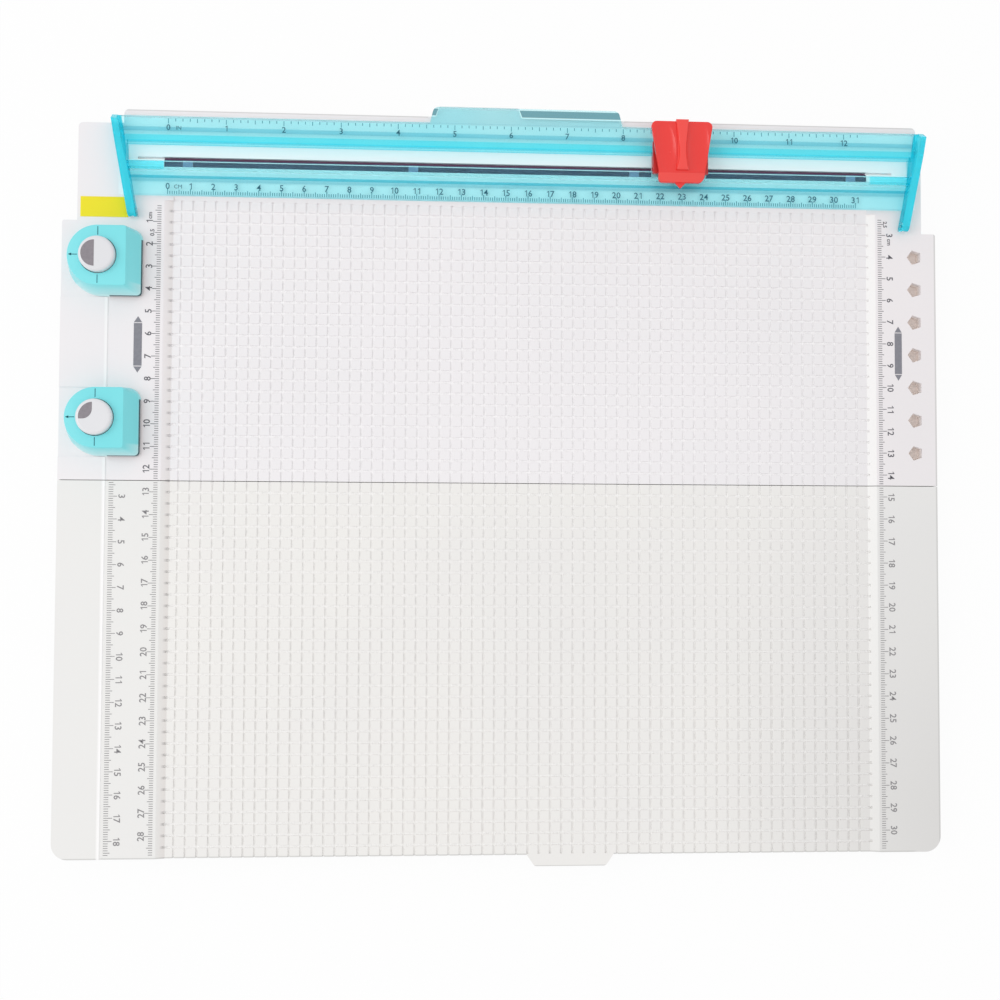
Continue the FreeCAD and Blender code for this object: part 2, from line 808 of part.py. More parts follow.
def rail_pivot_pins():
    pins = []
    half = dim.arm_tip_wall / 2 - dim.pin_skin
    for number, middle in enumerate((rail_left + lug_middle_inset, rail_right - lug_middle_inset)):
        pins.append(pin_along_x(f"pivot_pin{number}", middle - half, middle + half,
                                dim.pivot_y, pivot_level, dim.pivot_pin_radius))
    return joined("rail_pivot_pins", pins)


def hinge_pins():
    half = dim.knuckle_long + dim.clearance
    pins = [pin_along_x(f"fold_pin{number}", centre - half, centre + half,
                        as_size(0), hinge_level, dim.hinge_pin_radius)
            for number, centre in enumerate(hinge_centres)]
    return joined("hinge_pins", pins)


def side_label():
    return box("side_label", dim.label_left, dim.label_right, dim.label_front, dim.label_rear,
               leaf_top, leaf_top + dim.label_thick)


def cutting_rail():
    piece = Piece("cutting_rail")
    y = dim.rail_centre_y
    piece.add("YZ", rail_left + dim.arm_wall / 2, rail_right - dim.arm_wall / 2, [
        (rail_front, rail_low),
        (rail_rear, rail_low),
        (rail_rear, flange_top),
        (y + dim.ridge_foot, flange_top),
        (y + dim.land_outer, land_top),
        (y - dim.land_outer, land_top),
        (y - dim.ridge_foot, flange_top),
        (rail_front, flange_top),
    ])
    piece.cut("YZ", channel_left, channel_right, rectangle(
        y - dim.channel_half, y + dim.channel_half, rail_low, land_top))
    piece.cut("YZ", channel_left, channel_right, rectangle(
        y - dim.cavity_half, y + dim.cavity_half, rail_low, land_low))
    tab_right = (dim.rail_tab_right - dim.rail_tab_taper, rail_rear + dim.rail_tab_out)
    tab_left = (dim.rail_tab_left + dim.rail_tab_taper, rail_rear + dim.rail_tab_out)
    piece.add("XY", rail_low, flange_top, [
        (dim.rail_tab_left, rail_rear - dim.wall / 2),
        (dim.rail_tab_right, rail_rear - dim.wall / 2),
        (dim.rail_tab_right, rail_rear),
        tab_right,
        tab_left,
        (dim.rail_tab_left, rail_rear),
    ])
    piece.round_edges(dim.rail_tab_corner, upright_at(tab_right, tab_left))
    for side, edge in ((1, rail_left), (-1, rail_right)):
        add_arm(piece, side, edge)
    return piece.body


def add_arm(piece, side, edge):
    """End arm of the rail. side is 1 at the left end and -1 at the right end."""
    tip = edge + side * dim.arm_lean
    front = arm_front
    arm_top = flange_top + dim.arm_high
    outer = edge - side * dim.wall
    piece.cut("XY", rail_low, land_top, [
        (outer, rail_rear),
        (edge + side * dim.arm_wall / 2, rail_rear),
        (tip + side * dim.arm_wall / 2, front),
        (outer, front),
    ])
    piece.add("XY", rail_low, arm_top, [
        (edge, rail_rear),
        (tip, front),
        (tip + side * dim.arm_tip_wall, front),
        (edge + side * dim.arm_wall, rail_rear),
    ])
    inner = tip + side * (dim.arm_tip_wall + dim.slack)
    left, right = (outer, inner) if side > 0 else (inner, outer)
    tip_top = pivot_level + dim.arm_tip_radius
    over = arm_top + dim.wall
    piece.cut("YZ", left, right, [
        (front - dim.wall, over),
        (front - dim.wall, tip_top),
        (dim.pivot_y, tip_top),
        (dim.arm_level_y, arm_top),
        (dim.arm_level_y, over),
    ])
    rear_top = arm_top - dim.arm_rear_drop
    piece.cut("YZ", left, right, [
        (rail_rear - dim.arm_high / 2, over),
        (rail_rear - dim.arm_high / 2, arm_top),
        (rail_rear, rear_top),
        (rail_rear + dim.wall, rear_top),
        (rail_rear + dim.wall, over),
    ])
    piece.round_edges(dim.arm_tip_radius - dim.slack, tip_edges(front, tip, side))
    middle = edge + side * lug_middle_inset
    gap = dim.lug_thick / 2 + dim.clearance
    lug_reach = dim.lug_radius + dim.clearance
    piece.cut("YZ", middle - gap, middle + gap, rectangle(
        front, dim.pivot_y + lug_reach, rail_low, pivot_level + dim.clearance * 2))
    piece.cut("YZ", middle - gap, middle + gap, Disc(dim.pivot_y, pivot_level, lug_reach))
    reach = dim.arm_tip_wall / 2 - dim.pin_skin / 2
    piece.cut("YZ", middle - reach, middle + reach, Disc(
        dim.pivot_y, pivot_level, dim.pivot_pin_radius + dim.running_fit))


def tip_edges(front, tip, side):
    """Chooses the two level edges across the very front of an arm."""
    def chosen(edge):
        area = edge.BoundBox
        near_tip = abs(area.Center.x - (tip + side * dim.arm_tip_wall / 2).value) < 1
        return abs(area.YMin - front.value) < 0.01 and area.YLength < 0.01 and area.ZLength < 0.01 and near_tip
    return chosen


# Slider and press cap, all placed about the slider's own centre
slider_y = dim.rail_centre_y
shoe_top = land_low - dim.clearance
shoe_low = shoe_top - dim.shoe_thick
carriage_low = land_top + dim.clearance
carriage_top = carriage_low + dim.carriage_high
cap_low = carriage_top + dim.press_travel + dim.cap_gap
cap_top = cap_low + dim.cap_thick
ridge_top = cap_top + dim.cap_ridge_high
spring_low = carriage_top - dim.press_spring_sunk
blade_low = strip_top + dim.blade_above
blade_top = blade_low + dim.blade_deep
stem_low = carriage_low + dim.clearance + dim.press_travel


def across(half):
    """Left and right limits about the slider's centre."""
    return dim.slider_x - half, dim.slider_x + half


def blade_lane(half):
    return dim.blade_y - half, dim.blade_y + half


def slider_carriage():
    piece = Piece("slider_carriage")
    piece.add("XY", carriage_low, carriage_top, rectangle(
        *across(dim.carriage_reach), slider_y - dim.carriage_front, slider_y + dim.carriage_rear))
    piece.add("XY", shoe_top, carriage_low, rectangle(
        *across(dim.carriage_reach), slider_y - dim.neck_half, slider_y + dim.neck_half))
    well = dim.stem_thick / 2 + dim.clearance
    piece.cut("XY", carriage_low + dim.clearance / 2, carriage_top, rectangle(
        *across(dim.stem_half + dim.clearance), slider_y - well, slider_y + well))
    piece.cut("XY", shoe_top, carriage_top, rectangle(
        *across(dim.holder_half + dim.clearance), *blade_lane(dim.holder_thick / 2 + dim.clearance)))
    springs = [Disc(dim.slider_x + side * dim.press_spring_x, slider_y + dim.neck_half,
                    dim.press_spring_radius + dim.press_spring_wire + dim.clearance) for side in (-1, 1)]
    piece.cut("XY", spring_low, carriage_top, *springs)
    screws = [Disc(dim.slider_x + side * dim.slider_screw_x, slider_y, dim.screw_radius + dim.held_fit)
              for side in (-1, 1)]
    piece.cut("XY", shoe_top, shoe_top + dim.land_thick, *screws)
    return piece.body


def slider_shoe():
    piece = Piece("slider_shoe")
    piece.add("XY", shoe_low, shoe_top, rectangle(
        *across(dim.shoe_reach), slider_y - dim.shoe_half, slider_y + dim.shoe_half))
    piece.cut("XY", shoe_low, shoe_top, rectangle(
        *across(dim.holder_half + dim.clearance), *blade_lane(dim.holder_thick / 2 + dim.clearance)))
    screws = [Disc(dim.slider_x + side * dim.slider_screw_x, slider_y, dim.screw_radius + dim.held_fit)
              for side in (-1, 1)]
    piece.cut("XY", shoe_low, shoe_top, *screws)
    return piece.body


def slider_screws():
    parts = []
    for number, side in enumerate((-1, 1)):
        x = dim.slider_x + side * dim.slider_screw_x
        parts.append(rod(f"slider_head{number}", x, slider_y, shoe_low - dim.screw_head_high, shoe_low,
                         dim.screw_head_radius))
        parts.append(rod(f"slider_shank{number}", x, slider_y, shoe_low - dim.screw_head_high,
                         shoe_top + dim.land_thick - dim.clearance, dim.screw_radius))
    return joined("slider_screws", parts)


def slider_springs():
    coils = [coil(f"press_coil{number}", dim.slider_x + side * dim.press_spring_x, slider_y + dim.neck_half,
                  spring_low, cap_low, dim.press_spring_radius, dim.press_spring_wire, dim.press_spring_turns)
             for number, side in enumerate((-1, 1))]
    return joined("slider_springs", coils)


def slider_cap():
    """Press cap: a plate wide at the rear, bent down in front, with a waisted ridge and a pointer."""
    piece = Piece("slider_cap")
    rear = slider_y + dim.cap_rear
    front = slider_y - dim.cap_front
    bend = front + dim.cap_slope
    front_low = cap_low - dim.cap_drop
    front_top = cap_top - dim.cap_drop
    rear_left, rear_right = across(dim.cap_rear_half)
    front_left, front_right = across(dim.cap_front_half)
    piece.add("XY", front_low, cap_top, [
        (front_left, front),
        (front_right, front),
        (front_right, bend),
        (rear_right, rear),
        (rear_left, rear),
        (front_left, bend),
    ])
    piece.round_edges(dim.cap_corner, upright_at(
        (front_left, front), (front_right, front), (rear_left, rear), (rear_right, rear)))
    piece.cut("YZ", rear_left - dim.wall, rear_right + dim.wall, [
        (front, front_low - dim.wall),
        (rear + dim.wall, front_low - dim.wall),
        (rear + dim.wall, cap_low),
        (bend, cap_low),
        (front, front_low),
    ])
    piece.cut("YZ", rear_left - dim.wall, rear_right + dim.wall, [
        (front - dim.wall, front_top),
        (front, front_top),
        (bend, cap_top),
        (bend, cap_top + dim.wall),
        (front - dim.wall, cap_top + dim.wall),
    ])
    ridge_left, ridge_right = across(dim.cap_ridge_front_half)
    waist_left, waist_right = across(dim.cap_ridge_waist_half)
    end_left, end_right = across(dim.cap_ridge_rear_half)
    ridge_front = bend + dim.cap_ridge_start
    waist_front = slider_y + dim.cap_ridge_waist_front
    waist_rear = slider_y + dim.cap_ridge_waist_rear
    ridge_rear = rear + dim.cap_ridge_out
    piece.add("XY", cap_top - dim.slack, ridge_top, [
        (ridge_left, ridge_front),
        (ridge_right, ridge_front),
        (waist_right, waist_front),
        (waist_right, waist_rear),
        (end_right, ridge_rear),
        (end_left, ridge_rear),
        (waist_left, waist_rear),
        (waist_left, waist_front),
    ])
    piece.round_edges(dim.cap_ridge_high / 2, lambda edge: edge.BoundBox.ZMin > ridge_top.value - 0.01)
    root = front + dim.pointer_root
    point_left, point_right = across(dim.pointer_half)
    piece.add("XY", front_low, front_low + dim.pointer_thick, [
        (point_left, root),
        (point_left, front),
        (dim.slider_x, front - dim.pointer_out),
        (point_right, front),
        (point_right, root),
    ])
    return piece.body


def blade_holder():
    piece = Piece("blade_holder")
    piece.add("XY", stem_low, cap_low, rectangle(
        *across(dim.stem_half), slider_y - dim.stem_thick / 2, slider_y + dim.stem_thick / 2))
    holder_low = blade_low + dim.blade_deep / 2
    piece.add("XY", holder_low, stem_low + dim.wall / 2, rectangle(
        *across(dim.holder_half), *blade_lane(dim.holder_thick / 2)))
    piece.cut("XY", holder_low, blade_top + dim.held_fit, rectangle(
        *across(dim.holder_half), *blade_lane(dim.blade_thick / 2 + dim.held_fit)))
    pin_level = (holder_low + blade_top) / 2
    piece.cut("XZ", dim.blade_y - dim.holder_thick, dim.blade_y + dim.holder_thick, Disc(
        dim.slider_x, pin_level, dim.blade_pin_radius + dim.held_fit))
    return piece.body


def blade():
    """Small steel blade with a pointed lower edge."""
    piece = Piece("blade")
    left, right = across(dim.blade_half)
    shoulder = blade_low + dim.blade_deep / 2
    piece.add("XZ", *blade_lane(dim.blade_thick / 2), [
        (left, shoulder),
        (dim.slider_x, blade_low),
        (right, shoulder),
        (right, blade_top),
        (left, blade_top),
    ])
    pin_level = (shoulder + blade_top) / 2
    piece.cut("XZ", *blade_lane(dim.blade_thick / 2), Disc(
        dim.slider_x, pin_level, dim.blade_pin_radius + dim.held_fit))
    return piece.body


def blade_pin():
    pin_level = (blade_low + dim.blade_deep / 2 + blade_top) / 2
    return pin_along_y("blade_pin", dim.slider_x, pin_level, *blade_lane(dim.holder_thick / 2),
                       dim.blade_pin_radius)


# Punches. Both are alike and placed about their button's centre.
button_top = punch_top + dim.button_out
button_roof_low = button_top - dim.button_roof
flange_low = floor_top + dim.button_travel + dim.slack
lip_low = flange_low + dim.button_flange_high + dim.clearance
cutter_low = slot_top + dim.clearance


def corner_shape(name, centre, low, high, grow):
    """Prism that rounds a paper corner: a square less a large disc about its inner corner."""
    half = dim.cutter_side / 2 + grow
    square = box(name + "_square", dim.punch_x - half, dim.punch_x + half,
                 centre - half, centre + half, low, high)
    scallop = rod(name + "_scallop", dim.punch_x + dim.cutter_side / 2, centre - dim.cutter_side / 2,
                  low, high, dim.cutter_scallop - grow)
    return less(name, square, scallop)


def punch_outline(middle, reach, right, front_corner, corner):
    """Plan of a punch: a half circle on the left and a square right end with two rounded corners."""
    x = dim.punch_x
    front = middle - reach
    rear = middle + reach
    return [
        (x, front),
        Bend(right - front_corner, front, right - front_corner, front + front_corner),
        (right, front + front_corner),
        Bend(right, rear - corner, right - corner, rear - corner),
        (right - corner, rear),
        Bend(x, rear, x, middle),
    ]


def punch_housing(side, centre):
    """Housing of a punch: sloped sides, a flat top with the button's bore, and a slot for the paper."""
    name = f"{side}_punch_housing"
    right = dim.punch_x + dim.punch_right
    beyond = right + dim.wall
    front = centre - punch_front
    foot = punch_outline(
        centre - dim.punch_forward, dim.punch_reach, right, dim.punch_front_corner, dim.punch_corner)
    top = punch_outline(
        centre, dim.plateau_radius, dim.punch_x + dim.plateau_right, dim.plateau_corner, dim.plateau_corner)
    block = Piece(name + "_block")
    block.add("XY", leaf_top, slot_top, foot)
    block.taper(slot_top, foot, punch_top, top)
    slack = dim.slack
    wall_left = dim.punch_x - dim.cutter_side / 2 - slack
    wall_rear = centre + dim.cutter_side / 2 + slack
    mouth_left = dim.punch_x + dim.slot_side
    mouth_rear = centre + dim.slot_rear
    hollow = joined(name + "_hollow", [
        box(name + "_slot", wall_left, beyond, centre - dim.button_radius, wall_rear, leaf_top, slot_top),
        box(name + "_slot_front", mouth_left, beyond, front - dim.wall, wall_rear, leaf_top, slot_top),
        box(name + "_slot_side", dim.punch_x + dim.button_radius, beyond, centre, mouth_rear,
            leaf_top, slot_top),
        corner_shape(name + "_guide", centre, slot_top, floor_top, dim.running_fit),
        rod(name + "_bore", dim.punch_x, centre, floor_top, lip_low,
            dim.button_radius + dim.button_flange + dim.clearance),
        rod(name + "_mouth", dim.punch_x, centre, lip_low, punch_top + dim.wall,
            dim.button_radius + dim.clearance),
        rod(name + "_screw_front", punch_screw_x, centre - dim.punch_screw_y, leaf_top,
            leaf_top + dim.punch_screw_bite, dim.screw_radius + dim.held_fit),
        rod(name + "_screw_rear", punch_screw_x, centre + dim.punch_screw_y, leaf_top,
            leaf_top + dim.punch_screw_bite, dim.screw_radius + dim.held_fit),
    ])
    return less(name, block.body, hollow)


def punch_die(side, centre):
    name = f"{side}_punch_die"
    plate = box(name + "_plate", dim.punch_x - dim.die_left, dim.punch_x + dim.die_right,
                centre - dim.die_half, centre + dim.die_half, leaf_top - dim.die_thick, leaf_top)
    hole = corner_shape(name + "_hole", centre, leaf_top - dim.die_thick, leaf_top, dim.running_fit)
    return less(name, plate, hole)


def punch_button(side, centre):
    """Round press button: a domed cap with a stop flange and a hollow for its spring."""
    piece = Piece(f"{side}_punch_button")
    piece.add("XY", flange_low, button_top, Disc(dim.punch_x, centre, dim.button_radius))
    piece.round_edges(dim.button_dome, lambda edge: edge.BoundBox.ZMin > button_top.value - 0.01)
    piece.add("XY", flange_low, flange_low + dim.button_flange_high, Disc(
        dim.punch_x, centre, dim.button_radius + dim.button_flange))
    piece.cut("XY", flange_low, button_roof_low, Disc(
        dim.punch_x, centre, dim.button_radius - dim.button_wall))
    return piece.body


def punch_cutter(side, centre):
    name = f"{side}_punch_cutter"
    head_low = floor_top + dim.button_travel + dim.clearance
    return joined(name, [
        corner_shape(name + "_edge", centre, cutter_low, head_low + dim.wall, as_size(0)),
        box(name + "_head", dim.punch_x - dim.cutter_side / 2, dim.punch_x + dim.cutter_side / 2 - dim.wall,
            centre - dim.cutter_side / 2 + dim.wall, centre + dim.cutter_side / 2, head_low, head_low + dim.wall),
        rod(name + "_stem", dim.punch_x, centre, head_low, button_roof_low, dim.cutter_stem_radius),
    ])


def punch_spring(side, centre):
    return coil(f"{side}_punch_spring", dim.punch_x, centre, floor_top, button_roof_low,
                dim.punch_spring_radius, dim.punch_spring_wire, dim.punch_spring_turns)


def punch_screws():
    parts = []
    for side, centre in punch_centres.items():
        for place, shift in (("front", -dim.punch_screw_y), ("rear", dim.punch_screw_y)):
            name = f"{side}_{place}_punch_screw"
            parts.append(rod(name + "_head", punch_screw_x, centre + shift,
                             skin_low - dim.screw_head_high, skin_low, dim.screw_head_radius))
            parts.append(rod(name + "_shank", punch_screw_x, centre + shift,
                             skin_low - dim.screw_head_high,
                             leaf_top + dim.punch_screw_bite - dim.clearance, dim.screw_radius))
    return joined("punch_screws", parts)


chip_openings = [chip_opening(centre) for centre in punch_centres.values()]
cover_inset = dim.wall + dim.slack

pieces = [
    rear_board(),
    bottom_cover("rear_bottom_cover", rear_cavity(cover_inset), rear_screws, chip_openings),
    cover_screws("rear_cover_screws", rear_screws),
    feet("rear_feet", dim.rear_foot_near, dim.rear_foot_far),
    cutting_strip(),
    rail_pivot_pins(),
    hinge_pins(),
    side_label(),
    front_board(),
    bottom_cover("front_bottom_cover", corner_cut(cover_inset), front_screws, []),
    cover_screws("front_cover_screws", front_screws),
    feet("front_feet", -dim.front_foot_near, -dim.front_foot_far),
    cutting_rail(),
    slider_carriage(),
    slider_shoe(),
    slider_screws(),
    slider_springs(),
    slider_cap(),
    blade_holder(),
    blade(),
    blade_pin(),
    punch_screws(),
]
for side, centre in punch_centres.items():
    pieces += [
        punch_housing(side, centre),
        punch_die(side, centre),
        punch_button(side, centre),
        punch_cutter(side, centre),
        punch_spring(side, centre),
    ]

doc.recompute()
for item in doc.Objects:
    if "Invalid" in item.State or "Error" in item.State:
        raise RuntimeError(f"{item.Name} did not build: {item.State}")
for item in pieces:
    if item.Shape.isNull() or not item.Shape.isValid() or not item.Shape.Solids:
        raise RuntimeError(f"{item.Label} has no sound shape")

os.makedirs("parts", exist_ok=True)
for item in pieces:
    item.Shape.exportStep(f"parts/{item.Label}.step")
    print(item.Label, len(item.Shape.Solids), round(item.Shape.Volume, 1))
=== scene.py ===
"""Looks of a folding paper trimmer with corner punches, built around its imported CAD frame.

Lengths in this script are millimetres and each finished mesh is brought to metres. X runs along the
rail, Y from front to rear, Z up from the desk, as in the frame.
"""
import math

import bmesh
import bpy
from mathutils import Matrix, Vector


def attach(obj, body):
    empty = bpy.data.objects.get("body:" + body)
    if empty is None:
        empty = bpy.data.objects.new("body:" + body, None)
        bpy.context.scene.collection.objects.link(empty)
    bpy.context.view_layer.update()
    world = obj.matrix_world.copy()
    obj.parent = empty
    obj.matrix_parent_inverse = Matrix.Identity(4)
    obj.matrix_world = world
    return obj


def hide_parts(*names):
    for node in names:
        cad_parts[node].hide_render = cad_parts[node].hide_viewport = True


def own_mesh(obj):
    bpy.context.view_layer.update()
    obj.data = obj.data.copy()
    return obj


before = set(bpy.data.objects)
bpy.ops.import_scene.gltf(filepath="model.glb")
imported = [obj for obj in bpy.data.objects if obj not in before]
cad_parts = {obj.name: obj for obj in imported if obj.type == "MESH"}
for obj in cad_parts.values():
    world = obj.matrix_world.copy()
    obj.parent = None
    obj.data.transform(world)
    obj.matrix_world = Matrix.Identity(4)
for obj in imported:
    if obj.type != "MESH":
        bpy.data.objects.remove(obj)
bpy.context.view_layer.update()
scene = bpy.context.scene

MM = 0.001

# Camera
camera_data = bpy.data.cameras.new("trimmer_camera")
camera_data.lens = 49.49
camera_data.sensor_width = 36
camera = bpy.data.objects.new("trimmer_camera", camera_data)
camera.location = (-0.04192, -0.03380, 0.6248)
camera.rotation_euler = [math.radians(turn) for turn in (2.4377, -3.6665, 0.2317)]
scene.collection.objects.link(camera)
scene.camera = camera
scene.view_settings.view_transform = "Standard"

# Levels of the frame, in millimetres
PAD_TOP = 11.5
GROOVE_LOW = 10.8
LEAF_TOP = 13.0
FLANGE_TOP = 14.8
PRINT_HIGH = 0.05

# Places of the long grooves and of the clips over the cutting strip
GROOVE_PITCH, FIRST_GROOVE = 5.0, -144.9
GROOVE_WIDTH = 1.0
GROOVE_COUNT = 62
CLIP_PITCH, FIRST_CLIP = 100.0, -142.4

# Zones of a leaf: the slopes beside its field, the sockets, and what lies under the rail
LEFT_SLOPE_X = (-152.6, -148.2)
RIGHT_SLOPE_X = (165.0, 169.2)
SOCKETS_X, SOCKETS_Y = (182.0, 192.5), (2.0, 113.0)
SOCKET_FLOOR = 7.3
UNDER_RAIL_X, UNDER_RAIL_Y = (-172.0, 187.0), (126.9, 161.4)
SCORE_Y = (142.8, 144.0)
CLIP_Y = (139.45, 142.6)
LEAF_RIGHT = 196.1
FIELD_REAR = 122.0

# The front edge and its finger tab
FRONT_EDGE = -164.8
TAB_LEFT, TAB_RIGHT = 9.8, 48.5

# The punches' places
PUNCH_X = -178.6
PUNCH_PLACES = {"upper": 97.1, "lower": 26.5}

# The rail's places, and the painted shade lines along its edges, lands and feet, counted from its middle:
# from, to, softness and strength
RAIL_MIDDLE = 144.1
RAIL_REAR = 161.75
RAIL_LEFT, RAIL_RIGHT = -175.35, 190.85
ARM_SLANT = 7.7 / 45.35
RAIL_TAB_X = (-36.0, 53.0)
STRIP_X = (-151.8, 164.4)
RAIL_SHADE_LINES = (
    (10.9, 12.9, 0.2, 0.6),
    (4.8, 5.1, 0.1, 0.35),
    (3.5, 3.8, 0.1, 0.3),
    (-10.4, -9.4, 0.1, 0.9),
    (-11.6, -10.5, 0.2, 0.4),
)

# The white finger tab under the rail's own tab
BAR_REAR = 165.0
WHITE_TAB_X = (-32.4, 6.3)
TAB_SLANT = 1.8 / 4.8


# Shader sums


class Value:
    """A shader socket on which sums are written as plain Python."""

    def __init__(self, finish, socket):
        self.finish = finish
        self.socket = socket

    def sum_with(self, operation, first, second, clamped=False):
        return self.finish.node(
            "ShaderNodeMath", {"operation": operation, "use_clamp": clamped}, {0: first, 1: second})

    def __add__(self, other):
        return self.sum_with("ADD", self, other)

    def __radd__(self, other):
        return self.sum_with("ADD", other, self)

    def __sub__(self, other):
        return self.sum_with("SUBTRACT", self, other)

    def __rsub__(self, other):
        return self.sum_with("SUBTRACT", other, self)

    def __mul__(self, other):
        return self.sum_with("MULTIPLY", self, other)

    def __truediv__(self, other):
        return self.sum_with("DIVIDE", self, other)

    def away_from_whole(self):
        """How far the value is from the nearest whole number."""
        half = self.sum_with("ADD", self, 0.5)
        part = self.finish.node("ShaderNodeMath", {"operation": "FRACT"}, {0: half})
        return (part - 0.5).size()

    def held(self):
        """The same value kept between 0 and 1."""
        return self.sum_with("ADD", self, 0.0, clamped=True)

    def size(self):
        """The value without its sign."""
        return self.finish.node("ShaderNodeMath", {"operation": "ABSOLUTE"}, {0: self})

    def rise(self, start, end):
        """0 before start, 1 after end and straight between them."""
        return ((self - start) / (end - start)).held()

    def between(self, low, high, soft):
        """1 from low to high, fading over a soft edge on each side."""
        return self.rise(low - soft, low + soft) * (1 - self.rise(high - soft, high + soft))


def tint(red, green, blue):
    """A colour as it looks on a screen, given from 0 to 255."""
    parts = [part / 255 for part in (red, green, blue)]
    return [part / 12.92 if part < 0.04045 else ((part + 0.055) / 1.055) ** 2.4 for part in parts] + [1.0]


class Finish:
    """A material: a Principled shader and the nodes that feed it."""

    def __init__(self, name, **constants):
        self.material = bpy.data.materials.new(name)
        self.material.use_nodes = True
        self.tree = self.material.node_tree
        self.shader = self.tree.nodes["Principled BSDF"]
        for socket, value in constants.items():
            self.shader.inputs[socket.replace("_", " ").title().replace("Ior", "IOR")].default_value = value
        self.place = Value(self, self.tree.nodes.new("ShaderNodeTexCoord").outputs["Object"])
        apart = self.tree.nodes.new("ShaderNodeSeparateXYZ")
        self.feed(apart.inputs[0], self.place)
        self.x, self.y, self.z = [Value(self, output) * 1000.0 for output in apart.outputs]

    def feed(self, socket, value):
        """Links a value to a socket, or sets the socket where the value is a plain one."""
        if isinstance(value, Value):
            self.tree.links.new(value.socket, socket)
        else:
            socket.default_value = value

    def node(self, kind, settings, inputs, output=0):
        """One node with its settings made first, then what its sockets get."""
        made = self.tree.nodes.new(kind)
        for name, value in settings.items():
            setattr(made, name, value)
        for name, value in inputs.items():
            self.feed(made.inputs[name], value)
        return Value(self, made.outputs[output])

    def noise(self, scale, detail=2.0, stretch=(1.0, 1.0, 1.0)):
        """Soft noise between about 0 and 1, with scale blobs in a metre."""
        place = self.node("ShaderNodeMapping", {}, {"Vector": self.place, "Scale": stretch})
        return self.node("ShaderNodeTexNoise", {}, {"Vector": place, "Scale": scale, "Detail": detail})

    def mixed(self, share, first, second):
        """A colour that goes from the first to the second as share goes from 0 to 1."""
        return self.node("ShaderNodeMix", {"data_type": "RGBA"}, {0: share, 6: first, 7: second}, output=2)

    def colour(self, value):
        self.feed(self.shader.inputs["Base Color"], value)

    def rough(self, value):
        self.feed(self.shader.inputs["Roughness"], value)

    def grain(self, height, strength, distance=0.0002):
        """Small relief that only turns the light."""
        bump = self.node("ShaderNodeBump", {}, {
            "Height": height, "Strength": strength, "Distance": distance})
        self.feed(self.shader.inputs["Normal"], bump)


def moulded(name, base, deeper, roughness, grain_scale, **constants):
    """Moulded plastic: a slight drift in its colour, fine grain, and a little unevenness in its gloss."""
    finish = Finish(name, **constants)
    drift = finish.noise(18.0, detail=3.0)
    finish.colour(finish.mixed(drift.rise(0.35, 0.7), base, deeper))
    finish.rough(roughness + finish.noise(240.0) * 0.1 - 0.05)
    finish.grain(finish.noise(grain_scale, detail=1.0), 0.12, 0.00005)
    return finish


def steel(name, base, roughness, stretch):
    """Drawn or ground steel, with scratches along its length."""
    finish = Finish(name, metallic=1.0)
    lines = finish.noise(2600.0, detail=2.0, stretch=stretch)
    finish.colour(finish.mixed(lines.rise(0.3, 0.7), base, tint(205, 208, 212)))
    finish.rough(roughness + lines * 0.18)
    finish.grain(lines, 0.15, 0.00004)
    return finish


